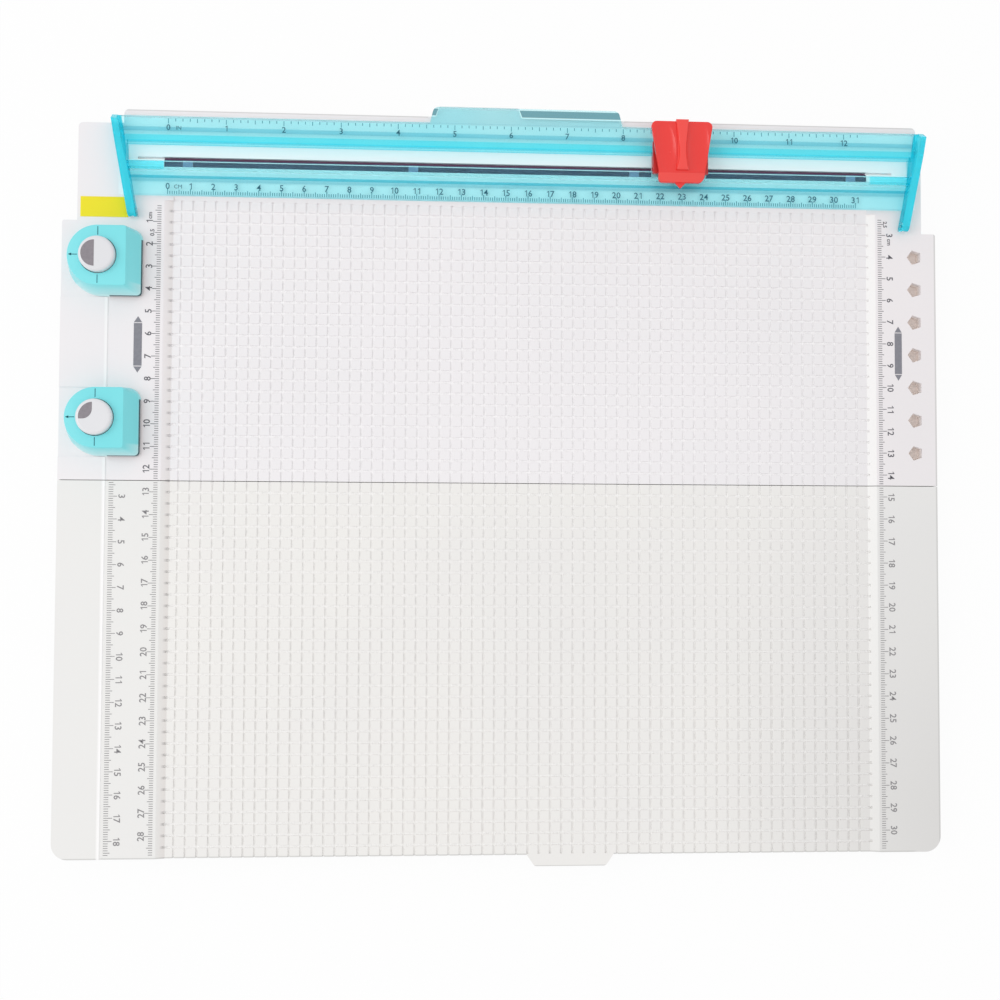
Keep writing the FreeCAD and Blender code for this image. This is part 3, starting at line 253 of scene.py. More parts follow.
def leaf_white(name, margin, field):
    """White board plastic coloured by zone: field, slopes, rims, grooves, fence, sockets and clips, with
    painted shade on the left slope, its groove ends, towards the front right, along the rims and on the
    clips, and painted light on the right slope, the groove floors, the score, the fence edge and under the
    rail.
    """
    finish = Finish(name, specular_ior_level=0.42)
    drift = finish.noise(9.0, detail=3.0).rise(0.35, 0.7)
    sunk = 1 - finish.z.rise(PAD_TOP + 0.2, LEAF_TOP - 0.2)
    plain = finish.mixed(sunk, margin, field)
    colour = finish.mixed(drift * 0.25, plain, tint(228, 227, 229))

    left_slope = finish.z.between(PAD_TOP + 0.1, LEAF_TOP - 0.1, 0.05) * finish.x.between(*LEFT_SLOPE_X, 0.1)
    # Painted shade: the left slope darkens towards the field.
    colour = finish.mixed(left_slope * finish.x.rise(-153.5, -148.6) * 0.5, colour, tint(220, 212, 208))
    off_floor = finish.z.rise(GROOVE_LOW - 0.2, GROOVE_LOW - 0.1)
    below_top = off_floor * (1 - finish.z.rise(LEAF_TOP - 0.15, LEAF_TOP - 0.05))
    painted_slope_highlight = below_top * finish.x.between(*RIGHT_SLOPE_X, 0.1)
    # Painted highlight: the right slope is made paler, as if lit.
    colour = finish.mixed(painted_slope_highlight * 0.6, colour, tint(255, 254, 252))
    notch = 1 - (finish.y / GROOVE_PITCH).away_from_whole().rise(0.1, 0.13)
    notch = notch * (1 - finish.y.rise(FIELD_REAR, FIELD_REAR + 1))
    painted_notch_shade = left_slope * finish.x.rise(-150.8, -149.4) * notch
    # Painted shade: the groove ends on the left slope are darkened.
    colour = finish.mixed(painted_notch_shade * 0.7, colour, tint(172, 168, 168))

    # Painted shade: the leaf darkens towards the right, more so towards the front, like light falling off
    # away from the left.
    painted_falloff_shade = finish.x.rise(90.0, 195.0) * (0.1 + (1 - finish.y.rise(-140.0, 0.0)) * 0.4)
    colour = finish.mixed(painted_falloff_shade, colour, tint(206, 204, 202))
    off_tab = 1 - finish.x.between(TAB_LEFT, TAB_RIGHT, 0.2)
    front_rim = (1 - finish.y.rise(-164.3, -164.1)) * off_tab * (1 - finish.x.rise(184.0, 186.0))
    rear_rim = finish.y.between(164.5, BAR_REAR, 0.1) * (1 - finish.x.between(*RAIL_TAB_X, 0.2))
    right_rim = finish.x.rise(LEAF_RIGHT, LEAF_RIGHT + 0.2)
    rims = right_rim + front_rim + rear_rim + 1 - finish.y.rise(-169.5, -169.3)
    # Painted shade: grey lines along the leaf's front, rear and right edges and along the front tab's edge.
    colour = finish.mixed(rims.held() * 0.6, colour, tint(196, 196, 194))

    # Painted light: groove floors are made paler to lift their shade; cross grooves get the most, long
    # grooves less towards the front, and the score groove the full amount.
    across = 1 - ((finish.x - FIRST_GROOVE) / GROOVE_PITCH).away_from_whole().rise(0.1, 0.12)
    groove_floor = (1 - finish.z.rise(GROOVE_LOW + 0.05, GROOVE_LOW + 0.15)) * off_floor
    painted_groove_light = groove_floor * (0.65 - across * (0.05 + (1 - finish.y.rise(-90.0, 0.0)) * 0.3))
    # Painted highlight: a pale line along the fence's edge, stronger on the front leaf.
    fence = finish.x.rise(-178.0, -177.2) * (1 - finish.x.rise(-176.3, -175.6))
    fence = fence * (1 - finish.y.rise(110.0, 112.0))
    front_leaf = 1 - finish.y.rise(-1.0, 1.0)
    painted_fence_highlight = fence * finish.z.rise(LEAF_TOP - 0.3, LEAF_TOP - 0.1) * (0.5 + front_leaf * 0.3)
    score = finish.y.between(*SCORE_Y, 0.05) * finish.z.rise(10.5, 11.0) * (1 - finish.z.rise(12.8, 12.95))
    colour = finish.mixed((painted_fence_highlight + painted_groove_light + score).held(), colour, tint(255, 254, 254))

    sockets = finish.x.between(*SOCKETS_X, 0.2) * finish.y.between(*SOCKETS_Y, 0.2)
    in_socket = (1 - finish.z.rise(7.8, 12.8)) * sockets * finish.z.rise(SOCKET_FLOOR - 0.1, SOCKET_FLOOR)
    colour = finish.mixed(in_socket, colour, tint(250, 240, 234))
    # Painted light: the leaf under the rail is made white, lifting the shadow the rail casts.
    painted_light_under_rail = finish.y.between(*UNDER_RAIL_Y, 0.2) * finish.x.between(*UNDER_RAIL_X, 1.0)
    colour = finish.mixed(painted_light_under_rail * finish.z.rise(9.8, 10.0), colour, tint(255, 254, 255))
    # Painted shade: the white clips over the cutting strip are darkened to blue-grey where they lie in the
    # rail's channel.
    at_clip = 1 - ((finish.x - FIRST_CLIP) / CLIP_PITCH).away_from_whole().rise(0.021, 0.022)
    painted_clip_shade = at_clip * finish.y.between(*CLIP_Y, 0.05) * finish.z.rise(12.0, 12.3)
    finish.colour(finish.mixed(painted_clip_shade, colour, tint(126, 146, 176)))
    finish.rough(0.46 + finish.noise(300.0) * 0.1)
    finish.grain(finish.noise(5200.0, detail=1.0), 0.1, 0.00004)
    return finish


def rail_turquoise():
    """Clear turquoise rail: pale flanges and front slope, deeper lands, painted shade lines along its edges,
    lands and feet, painted shade on the tab where no white lies under it, and milky arms.
    """
    finish = Finish("rail_turquoise", ior=1.1, transmission_weight=0.985)
    middle = finish.y - RAIL_MIDDLE
    over_strip = finish.x.between(*STRIP_X, 0.3)
    on_top = finish.z.rise(17.9, 18.4)
    lands = (middle.between(4.9, 8.3, 0.1) + middle.between(3.6, 4.9, 0.1) * 0.45
             + middle.between(-7.4, -3.6, 0.1) * (1 - over_strip)) * on_top
    cloud = finish.noise(30.0, detail=2.0).rise(0.3, 0.7)
    pale = finish.mixed(cloud, tint(210, 251, 255), tint(216, 252, 255))
    deep = finish.mixed(cloud, tint(92, 240, 255), tint(102, 242, 255))
    colour = finish.mixed(lands, pale, deep)
    # Painted shade: dark lines along the rail's outer edges, land edges and feet, standing in for the edges'
    # refraction.
    lines = middle.size().between(17.3, 17.6, 0.1) * 0.3
    for low, high, soft, strength in RAIL_SHADE_LINES:
        lines = lines + middle.between(low, high, soft) * strength
    off_foot = finish.z.rise(14.0, 14.4)
    colour = finish.mixed(lines.held() * off_foot, colour, tint(10, 180, 206))
    # Painted shade: the rail's tab is darkened beyond the bar where no white tab lies under it.
    tab_lean = (finish.y - BAR_REAR) * TAB_SLANT
    tab_left, tab_right = WHITE_TAB_X
    over_white = ((finish.x - tab_lean).rise(tab_left - 0.2, tab_left)
                  * (1 - (finish.x + tab_lean).rise(tab_right, tab_right + 0.2)))
    past_bar = finish.y.rise(BAR_REAR - 0.1, BAR_REAR + 0.1) * (1 - finish.y.rise(168.1, 168.3))
    colour = finish.mixed((1 - over_white) * past_bar * off_foot, colour, tint(64, 112, 124))
    lean = (RAIL_REAR - finish.y) * ARM_SLANT
    from_left = finish.x - RAIL_LEFT - lean
    from_right = RAIL_RIGHT - finish.x - lean
    arm = (2 - from_left.rise(3.4, 3.8) - from_right.rise(3.4, 3.8)).held()
    finish.colour(finish.mixed(arm, colour, tint(112, 244, 255)))
    finish.rough(0.05 + finish.noise(200.0) * 0.06)
    milky = finish.tree.nodes.new("ShaderNodeBsdfPrincipled")
    milky.inputs["Base Color"].default_value = tint(64, 232, 250)
    milky.inputs["Roughness"].default_value = 0.25
    mix = finish.tree.nodes.new("ShaderNodeMixShader")
    finish.feed(mix.inputs[0], arm * 0.55)
    finish.tree.links.new(finish.shader.outputs[0], mix.inputs[1])
    finish.tree.links.new(milky.outputs[0], mix.inputs[2])
    finish.tree.links.new(mix.outputs[0], finish.tree.nodes["Material Output"].inputs["Surface"])
    return finish


def slider_red():
    """Glossy red of the slider's cap, with painted light on its ridge and on its front slope."""
    finish = Finish("slider_red", coat_weight=0.3, coat_roughness=0.12)
    drift = finish.noise(18.0, detail=3.0).rise(0.35, 0.7)
    plain = finish.mixed(drift, tint(233, 38, 31), tint(237, 46, 38))
    on_ridge = finish.z.rise(25.9, 26.4)
    on_front = finish.z.between(21.9, 25.2, 0.1) * (1 - finish.y.rise(138.4, 138.9))
    # Painted light: the ridge and the front slope are made paler, as if lit.
    finish.colour(finish.mixed((on_ridge + on_front).held(), plain, tint(244, 66, 58)))
    finish.rough(0.2 + finish.noise(240.0) * 0.1)
    finish.grain(finish.noise(3000.0, detail=1.0), 0.12, 0.00005)
    return finish


def punch_turquoise():
    """Opaque turquoise of the punches, with painted highlight on the front slopes and low down, and a
    painted shadow line along the paper slot's lip.
    """
    finish = Finish("punch_turquoise", coat_weight=0.1)
    drift = finish.noise(18.0, detail=3.0).rise(0.35, 0.7)
    plain = finish.mixed(drift, tint(120, 224, 231), tint(132, 229, 235))
    # Painted shadow: a dark line along each paper slot's lip, in place of the shade in the gap.
    slots = [(finish.y - y).between(-18.0, 9.0, 0.15) for y in PUNCH_PLACES.values()]
    lip = (slots[0] + slots[1]) * finish.x.rise(-175.6, -175.2) * (1 - finish.z.rise(15.2, 15.4))
    # Painted highlight: the front slopes and the foot are made paler.
    fronts = [(finish.y - y).between(-22.0, -11.0, 0.5) for y in PUNCH_PLACES.values()]
    front_slope = (fronts[0] + fronts[1]) * (1 - finish.z.rise(15.0, 24.0))
    foot = 1 - finish.z.rise(13.4, 16.4)
    painted_light_colour = finish.mixed((front_slope * 0.6 + foot * 0.4).held(), plain, tint(214, 246, 247))
    finish.colour(finish.mixed(lip, painted_light_colour, tint(44, 84, 92)))
    finish.rough(0.27 + finish.noise(240.0) * 0.1)
    finish.grain(finish.noise(3800.0, detail=1.0), 0.12, 0.00005)
    return finish


def strip_black():
    """Cutting strip: black rubber, paler where it is worn, with a mauve edge along its score channel."""
    finish = Finish("strip_black", specular_ior_level=0.4)
    wear = finish.noise(900.0, detail=3.0, stretch=(0.08, 1.0, 1.0))
    line = finish.y.between(142.9, 143.95, 0.08)
    rubber = finish.mixed(wear.rise(0.3, 0.75), tint(50, 58, 82), tint(84, 94, 118))
    finish.colour(finish.mixed(line, rubber, tint(122, 72, 104)))
    finish.rough(0.45 + wear * 0.25)
    finish.grain(wear, 0.2, 0.00006)
    return finish


def printed(name, colour, faded):
    """Screen-printed ink, slightly uneven."""
    finish = Finish(name, specular_ior_level=0.3)
    finish.colour(finish.mixed(finish.noise(700.0, detail=2.0).rise(0.35, 0.75), colour, faded))
    finish.rough(0.5 + finish.noise(900.0) * 0.1)
    return finish


finishes = {
    "rear_white": leaf_white("rear_white", tint(243, 238, 240), tint(242, 239, 241)),
    "front_white": leaf_white("front_white", tint(237, 236, 234), tint(240, 238, 235)),
    "rail_turquoise": rail_turquoise(),
    "punch_turquoise": punch_turquoise(),
    "slider_red": slider_red(),
    "slider_dark_red": moulded("slider_dark_red", tint(196, 30, 30), tint(204, 38, 36), 0.35, 3000.0),
    "shoe_white": moulded("shoe_white", tint(222, 224, 226), tint(214, 216, 219), 0.4, 3000.0),
    "button_white": moulded("button_white", tint(228, 228, 231), tint(222, 222, 226), 0.3, 3600.0,
                            coat_weight=0.2),
    "strip_black": strip_black(),
    "label_yellow": moulded("label_yellow", tint(243, 226, 8), tint(240, 222, 6), 0.45, 2400.0),
    "foot_rubber": moulded("foot_rubber", tint(62, 62, 64), tint(74, 74, 76), 0.7, 2200.0),
    "blade_steel": steel("blade_steel", tint(178, 182, 188), 0.18, (0.1, 1.0, 1.0)),
    "pin_steel": steel("pin_steel", tint(168, 171, 176), 0.24, (0.1, 1.0, 1.0)),
    "spring_steel": steel("spring_steel", tint(150, 153, 158), 0.28, (1.0, 1.0, 0.4)),
    "screw_steel": steel("screw_steel", tint(160, 162, 166), 0.26, (1.0, 1.0, 0.2)),
    "ink_grey": printed("ink_grey", tint(96, 95, 101), tint(110, 109, 115)),
    "ink_pale": printed("ink_pale", tint(140, 138, 140), tint(150, 148, 150)),
    "ink_teal": printed("ink_teal", tint(44, 106, 126), tint(54, 116, 136)),
    "ink_tick": printed("ink_tick", tint(62, 146, 164), tint(72, 156, 174)),
    "ink_mark": printed("ink_mark", tint(30, 104, 118), tint(40, 116, 130)),
    "ink_bar": printed("ink_bar", tint(132, 132, 140), tint(140, 140, 148)),
    "ink_button": printed("ink_button", tint(138, 132, 138), tint(146, 140, 146)),
}


def show(node, finish):
    """Gives a carried-over node its finish."""
    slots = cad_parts[node].data.materials
    slots.clear()
    slots.append(finishes[finish].material)


def piece_from(name, form, finish, body, recalculate=False):
    """Makes a piece of a form drawn in millimetres, and lets it ride on a body."""
    if recalculate:
        bmesh.ops.recalc_face_normals(form, faces=form.faces)
    form.transform(Matrix.Scale(MM, 4))
    mesh = bpy.data.meshes.new(name)
    form.to_mesh(mesh)
    form.free()
    mesh.materials.append(finishes[finish].material)
    piece = bpy.data.objects.new(name, mesh)
    scene.collection.objects.link(piece)
    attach(piece, body)
    return piece


def flat_bar(form, left, right, front, rear, low, high):
    """Adds a straight block between the given limits."""
    middle = Vector((left + right, front + rear, low + high)) / 2
    size = Vector((right - left, rear - front, high - low))
    bmesh.ops.create_cube(form, size=1, matrix=Matrix.LocRotScale(middle, None, size))


# Boards


def groove_cutters(front, rear, tab_front=None):
    """Bars that cut the long grooves of a leaf, one every five millimetres across."""
    form = bmesh.new()
    for number in range(GROOVE_COUNT):
        x = FIRST_GROOVE + number * GROOVE_PITCH
        over_tab = tab_front is not None and TAB_LEFT - 1 < x < TAB_RIGHT + 1
        flat_bar(form, x - GROOVE_WIDTH / 2, x + GROOVE_WIDTH / 2, tab_front if over_tab else front, rear,
                 GROOVE_LOW, LEAF_TOP + 1)
    form.transform(Matrix.Scale(MM, 4))
    mesh = bpy.data.meshes.new("groove_cutters")
    form.to_mesh(mesh)
    form.free()
    cutters = bpy.data.objects.new("groove_cutters", mesh)
    scene.collection.objects.link(cutters)
    return cutters


def merged_copy(node):
    """A welded copy of a node's mesh, with its flat faces made whole again."""
    form = bmesh.new()
    form.from_mesh(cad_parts[node].data)
    bmesh.ops.remove_doubles(form, verts=form.verts, dist=1e-6)
    bmesh.ops.dissolve_limit(form, angle_limit=math.radians(1), verts=form.verts, edges=form.edges,
                             delimit={"NORMAL"})
    return form


def grooved_leaf(name, node, finish, body, cutters):
    """A leaf with both sets of grooves, made from the frame's leaf and standing in for it."""
    form = merged_copy(node)
    mesh = bpy.data.meshes.new(name)
    form.to_mesh(mesh)
    form.free()
    leaf = bpy.data.objects.new(name, mesh)
    scene.collection.objects.link(leaf)
    cut = leaf.modifiers.new("grooves", "BOOLEAN")
    cut.operation = "DIFFERENCE"
    cut.solver = "MANIFOLD"
    cut.object = cutters
    bpy.context.view_layer.update()
    shown = leaf.evaluated_get(bpy.context.evaluated_depsgraph_get())
    cut_mesh = bpy.data.meshes.new_from_object(shown)
    leaf.modifiers.clear()
    leaf.data = cut_mesh
    cut_mesh.materials.clear()
    cut_mesh.materials.append(finishes[finish].material)
    bpy.data.objects.remove(cutters)
    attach(leaf, body)
    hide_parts(node)
    return leaf


grooved_leaf("rear_leaf_grooved", "rear_board", "rear_white", "base", groove_cutters(0.1, 124.9))
grooved_leaf("front_leaf_grooved", "front_board", "front_white", "front_leaf",
             groove_cutters(FRONT_EDGE - 1, -0.1, tab_front=FRONT_EDGE + 0.5))


# Printed rulers


TEXT_SIZE = 4.1
SMALL_TEXT = 2.6
DIGIT_STEP = 0.51


def word_mesh(words, size, weight):
    """A thin raised word drawn at the origin."""
    curve = bpy.data.curves.new("words", "FONT")
    curve.body = words
    curve.size = size
    curve.resolution_u = 2
    curve.extrude = PRINT_HIGH / 2
    curve.offset = weight
    holder = bpy.data.objects.new("words", curve)
    scene.collection.objects.link(holder)
    bpy.context.view_layer.update()
    mesh = bpy.data.meshes.new_from_object(holder)
    bpy.data.objects.remove(holder)
    bpy.data.curves.remove(curve)
    return mesh


def one_mesh(size, weight):
    """The figure one: a stem with a short flag."""
    form = bmesh.new()
    high, half = size * 0.69, size * 0.035 + weight
    flat_bar(form, -half, half, 0, high, -PRINT_HIGH / 2, PRINT_HIGH / 2)
    flag = Matrix.LocRotScale((-size * 0.1, high - size * 0.1, 0),
                              Matrix.Rotation(math.radians(38), 3, "Z").to_quaternion(),
                              (size * 0.26, half * 1.7, PRINT_HIGH * 0.98))
    bmesh.ops.create_cube(form, size=1, matrix=flag)
    mesh = bpy.data.meshes.new("one")
    form.to_mesh(mesh)
    form.free()
    return mesh


def lettering(form, words, x, y, level, turn, size=TEXT_SIZE, weight=0.05):
    """Adds thin raised words, centred on a place and turned about it."""
    word = bmesh.new()
    for place, letter in enumerate(words if words.isdigit() else [words]):
        mesh = one_mesh(size, weight) if letter == "1" else word_mesh(letter, size, weight)
        across = [corner.co.x for corner in mesh.vertices]
        step = size * DIGIT_STEP * (place - (len(words) - 1) / 2) if words.isdigit() else 0.0
        mesh.transform(Matrix.Translation((step - (min(across) + max(across)) / 2, 0, 0)))
        word.from_mesh(mesh)
        bpy.data.meshes.remove(mesh)
    up = [corner.co.y for corner in word.verts]
    word.transform(Matrix.Translation((x, y, level + PRINT_HIGH / 2))
                   @ Matrix.Rotation(math.radians(turn), 4, "Z")
                   @ Matrix.Translation((0, -(min(up) + max(up)) / 2, 0)))
    mesh = bpy.data.meshes.new("word")
    word.to_mesh(mesh)
    word.free()
    form.from_mesh(mesh)
    bpy.data.meshes.remove(mesh)


def ruler_down(form, base, side, mark_y, first, last, long_marks, level, wide=0.26):
    """Adds millimetre marks down a leaf. Marks start at base and run to the left or right of it."""
    for tenth in range(first, last + 1):
        length = long_marks[0] if tenth % 10 == 0 else long_marks[1] if tenth % 5 == 0 else long_marks[2]
        y = mark_y(tenth / 10)
        left, right = sorted((base, base + side * length))
        flat_bar(form, left, right, y - wide / 2, y + wide / 2, level, level + PRINT_HIGH)


CENTIMETRE = 10
LEFT_ZERO, RIGHT_ZERO, INNER_ZERO = 12.5, 14.5, 2.3


def left_mark(centimetre):
    return (LEFT_ZERO - centimetre) * CENTIMETRE


def right_mark(centimetre):
    return (RIGHT_ZERO - centimetre) * CENTIMETRE


def inner_mark(centimetre):
    return (INNER_ZERO - centimetre) * CENTIMETRE


LEFT_BASE, LEFT_LABELS = -153.7, -158.8
RIGHT_BASE, RIGHT_LABELS = 170.0, 175.5
INNER_BASE, INNER_LABELS = -174.8, -169.1
SIDE_MARKS = (3.6, 2.6, 1.8)
INNER_MARKS = (3.7, 2.9, 2.0)


def side_rulers(name, body, finish, tenths_left, tenths_right, with_inner):
    """The rulers beside a leaf's field, with marks from and to the given tenths of a centimetre."""
    form = bmesh.new()
    ruler_down(form, LEFT_BASE, -1, left_mark, *tenths_left, SIDE_MARKS, LEAF_TOP)
    ruler_down(form, RIGHT_BASE, 1, right_mark, *tenths_right, SIDE_MARKS, LEAF_TOP)
    for centimetre in range(math.ceil(tenths_left[0] / 10), tenths_left[1] // 10 + 1):
        y = left_mark(centimetre)
        lettering(form, str(centimetre), LEFT_LABELS, y, LEAF_TOP, 90)
    for centimetre in range(math.ceil(tenths_right[0] / 10), tenths_right[1] // 10 + 1):
        y = right_mark(centimetre)
        lettering(form, str(centimetre), RIGHT_LABELS, y, LEAF_TOP, -90)
    if with_inner:
        ruler_down(form, INNER_BASE, 1, inner_mark, 24, 186, INNER_MARKS, LEAF_TOP)
        for centimetre in range(3, 19):
            lettering(form, str(centimetre), INNER_LABELS, inner_mark(centimetre), LEAF_TOP, -90)
    else:
        lettering(form, "cm", LEFT_LABELS + 0.4, left_mark(1) + 2.6, LEAF_TOP, 90, SMALL_TEXT)
        lettering(form, "0.5", LEFT_LABELS + 1.2, left_mark(1.5), LEAF_TOP, 90, SMALL_TEXT)
        lettering(form, "cm", RIGHT_LABELS - 0.4, right_mark(3) - 3.1, LEAF_TOP, -90, SMALL_TEXT)
        lettering(form, "2.5", RIGHT_LABELS - 2.0, right_mark(2.5), LEAF_TOP, -90, 2.4)
    return piece_from(name, form, finish, body)


side_rulers("rear_leaf_rulers", "base", "ink_grey", (3, 124), (23, 144), False)
side_rulers("front_leaf_rulers", "front_leaf", "ink_pale", (126, 288), (146, 308), True)


def flat_print(form, corners, level):
    """Adds a thin raised print with the given corners."""
    face = form.faces.new([form.verts.new((x, y, level)) for x, y in corners])
    raised = bmesh.ops.extrude_face_region(form, geom=[face])
    tops = [item for item in raised["geom"] if isinstance(item, bmesh.types.BMVert)]
    bmesh.ops.translate(form, vec=(0, 0, PRINT_HIGH), verts=tops)


def arc(x, y, radius, start, end, steps=16):
    """Points on a circle, from one angle in degrees to another."""
    turns = [math.radians(start + (end - start) * step / steps) for step in range(steps + 1)]
    return [(x + radius * math.cos(turn), y + radius * math.sin(turn)) for turn in turns]


ARROW_HEAD, ARROW_GAP = 2.7, 0.35


def arrow_bar(form, left, right, front, rear, level):
    """Adds a flat bar with a loose arrow head at each end."""
    middle = (left + right) / 2
    head, gap = ARROW_HEAD, ARROW_GAP
    flat_print(form, [(left, front + head + gap), (right, front + head + gap),
                      (right, rear - head - gap), (left, rear - head - gap)], level)
    flat_print(form, [(middle, front), (right, front + head), (left, front + head)], level)
    flat_print(form, [(middle, rear), (left, rear - head), (right, rear - head)], level)


form = bmesh.new()
arrow_bar(form, -165.0, -161.4, 47.6, 72.6, LEAF_TOP)
arrow_bar(form, 177.6, 180.9, 48.2, 73.0, LEAF_TOP)
piece_from("arrow_bars", form, "ink_bar", "base", recalculate=True)


# Punch prints


PUNCH_TOP = 25.0
BUTTON_TOP = 28.4
MARK_HALF = 0.17
MARK_NEAR, MARK_FAR = 8.7, 12.4
HEAD_TIP, HEAD_FOOT, HEAD_HALF = 12.6, 11.2, 0.62


def punch_marks(side, y):
    """Thin centring marks on a punch: one in front, one at the rear and a small arrow on the left."""
    form = bmesh.new()
    high = PUNCH_TOP + PRINT_HIGH
    left, right = PUNCH_X - MARK_HALF, PUNCH_X + MARK_HALF
    flat_bar(form, left, right, y + MARK_NEAR, y + MARK_FAR, PUNCH_TOP, high)
    flat_bar(form, left, right, y - MARK_FAR, y - MARK_NEAR, PUNCH_TOP, high)
    flat_bar(form, PUNCH_X - 12.0, PUNCH_X - MARK_NEAR, y - MARK_HALF, y + MARK_HALF, PUNCH_TOP, high)
    head = PUNCH_X - HEAD_FOOT
    flat_print(form, [(PUNCH_X - HEAD_TIP, y), (head, y - HEAD_HALF), (head, y + HEAD_HALF)], PUNCH_TOP)
    piece_from(f"{side}_punch_marks", form, "ink_mark", "base", recalculate=True)


def button_print(side, corners):
    """The grey sign on a button's top."""
    form = bmesh.new()
    flat_print(form, corners, BUTTON_TOP)
    piece_from(f"{side}_button_print", form, "ink_button", f"{side}_button",
               recalculate=True)


for side, y in PUNCH_PLACES.items():
    punch_marks(side, y)
upper_y, lower_y = PUNCH_PLACES["upper"], PUNCH_PLACES["lower"]
button_print("upper", arc(PUNCH_X - 0.8, upper_y + 0.1, 5.7, 90, 270, 32))
button_print("lower", [(PUNCH_X - 0.5, lower_y + 6.2)] + arc(PUNCH_X, lower_y, 6.3, 100, 186, 16)
             + [(PUNCH_X - 6.2, lower_y - 1.0)]
             + arc(PUNCH_X - 4.7, lower_y + 3.2, 4.2, 270, 360, 12))


# Rail prints


CM_ZERO, CM_LABELS_Y, CM_EDGE = -150.85, 130.5, 126.9
INCH_ZERO, INCH_LABELS_Y, INCH_EDGE = -150.9, 156.8, 160.7
INCH = 25.4
LAST_TENTH, LAST_EIGHTH = 310, 98
RAIL_MARK_HALF = 0.16
UNIT_TEXT = 2.5


def rail_marks():
    """Centimetre marks along the rail's front edge and inch marks along its rear edge."""
    form = bmesh.new()
    half, high = RAIL_MARK_HALF, FLANGE_TOP + PRINT_HIGH
    for tenth in range(LAST_TENTH + 1):
        length = 2.4 if tenth % 10 == 0 else 2.0 if tenth % 5 == 0 else 1.4
        x = CM_ZERO + tenth
        flat_bar(form, x - half, x + half, CM_EDGE, CM_EDGE + length, FLANGE_TOP, high)
    for eighth in range(LAST_EIGHTH + 1):
        length = 2.2 if eighth % 8 == 0 else 1.7 if eighth % 4 == 0 else 1.2
        x = INCH_ZERO + eighth * INCH / 8
        flat_bar(form, x - half, x + half, INCH_EDGE - length, INCH_EDGE, FLANGE_TOP, high)
    piece_from("rail_marks", form, "ink_tick", "rail")


def rail_numbers():
    """Centimetre and inch numbers along the rail."""
    form = bmesh.new()
    for centimetre in range(32):
        x = CM_ZERO + centimetre * CENTIMETRE
        lettering(form, str(centimetre), x, CM_LABELS_Y, FLANGE_TOP, 0, 3.9, 0.04)
    lettering(form, "CM", CM_ZERO + 4.5, CM_LABELS_Y - 0.2, FLANGE_TOP, 0, UNIT_TEXT, 0.0)
    for inch in range(13):
        lettering(form, str(inch), INCH_ZERO + inch * INCH, INCH_LABELS_Y, FLANGE_TOP, 0, 3.7, 0.04)
    lettering(form, "IN", INCH_ZERO + 4.5, INCH_LABELS_Y - 0.2, FLANGE_TOP, 0, UNIT_TEXT, 0.0)
    piece_from("rail_numbers", form, "ink_teal", "rail")


rail_marks()
rail_numbers()


# Rounded forms


def softened(name, node, body, finish, width, chosen, segments=3, scoops=None):
    """A copy of a node with chosen edges rounded off, smooth where it is round, in the node's place."""
    form = merged_copy(node)
    edges = [edge for edge in form.edges if len(edge.link_faces) == 2 and edge.is_convex and chosen(edge)]
    bmesh.ops.bevel(form, geom=edges, offset=width * MM, offset_type="OFFSET", affect="EDGES",
                    segments=segments, profile=0.5, material=-1, clamp_overlap=True)
    mesh = bpy.data.meshes.new(name)
    form.to_mesh(mesh)
    form.free()
    piece = bpy.data.objects.new(name, mesh)
    scene.collection.objects.link(piece)
    if scoops is not None:
        carved(piece, scoops)
    smooth_round(piece.data, 32)
    piece.data.materials.clear()
    piece.data.materials.append(finishes[finish].material)
    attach(piece, body)
    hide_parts(node)
    return piece


def smooth_round(mesh, angle):
    """Shades a mesh smoothly but for the edges sharper than the angle."""
    for face in mesh.polygons:
        face.use_smooth = True
    mesh.set_sharp_from_angle(angle=math.radians(angle))


BORE_REACH = 9.5


def rim_of_plateau(middle_x, middle_y):
    """Chooses the edge round a punch's flat top, but not the edge of its bore."""
    def chosen(edge):
        centre = (edge.verts[0].co + edge.verts[1].co) / 2 / MM
        if min(corner.co.z for corner in edge.verts) / MM < PUNCH_TOP - 0.01:
            return False
        return math.hypot(centre.x - middle_x, centre.y - middle_y) > BORE_REACH
    return chosen


for side, y in PUNCH_PLACES.items():
    softened(f"{side}_punch_shell", f"{side}_punch_housing", "base", "punch_turquoise",
             1.1, rim_of_plateau(PUNCH_X, y), segments=5)

SLIDER_X = 77.15
CAP_TOP = 25.5
RIDGE_REACH = 3.4
SLOPE_START = 135.2
RIM_LOW = 21.2
SCOOP_X, SCOOP_Y, SCOOP_RISE = 7.5, 150.4, 2.0
SCOOP_RADII = (6.1, 14.6, 3.1)


def rim_of_cap(edge):
    """Chooses the outer rim of the cap's plate, on its level part and its slope."""
    if edge.calc_face_angle(0.0) < math.radians(50):
        return False
    ends = [corner.co / MM for corner in edge.verts]
    faces = [face.normal.z for face in edge.link_faces]
    beside = min(abs(end.x - SLIDER_X) for end in ends) > RIDGE_REACH
    in_front = max(end.y for end in ends) < SLOPE_START
    return (beside or in_front) and max(faces) > 0.6 and min(end.z for end in ends) > RIM_LOW


def cap_scoops():
    """Two shallow bowls for the fingertips, one on each side of the cap's ridge."""
    form = bmesh.new()
    for side in (-1, 1):
        place = Matrix.LocRotScale(
            (SLIDER_X + side * SCOOP_X, SCOOP_Y, CAP_TOP + SCOOP_RISE),
            Matrix.Rotation(math.radians(-5 * side), 3, "Z").to_quaternion(), SCOOP_RADII)
        bmesh.ops.create_uvsphere(form, u_segments=64, v_segments=48, radius=1, matrix=place)
    return form


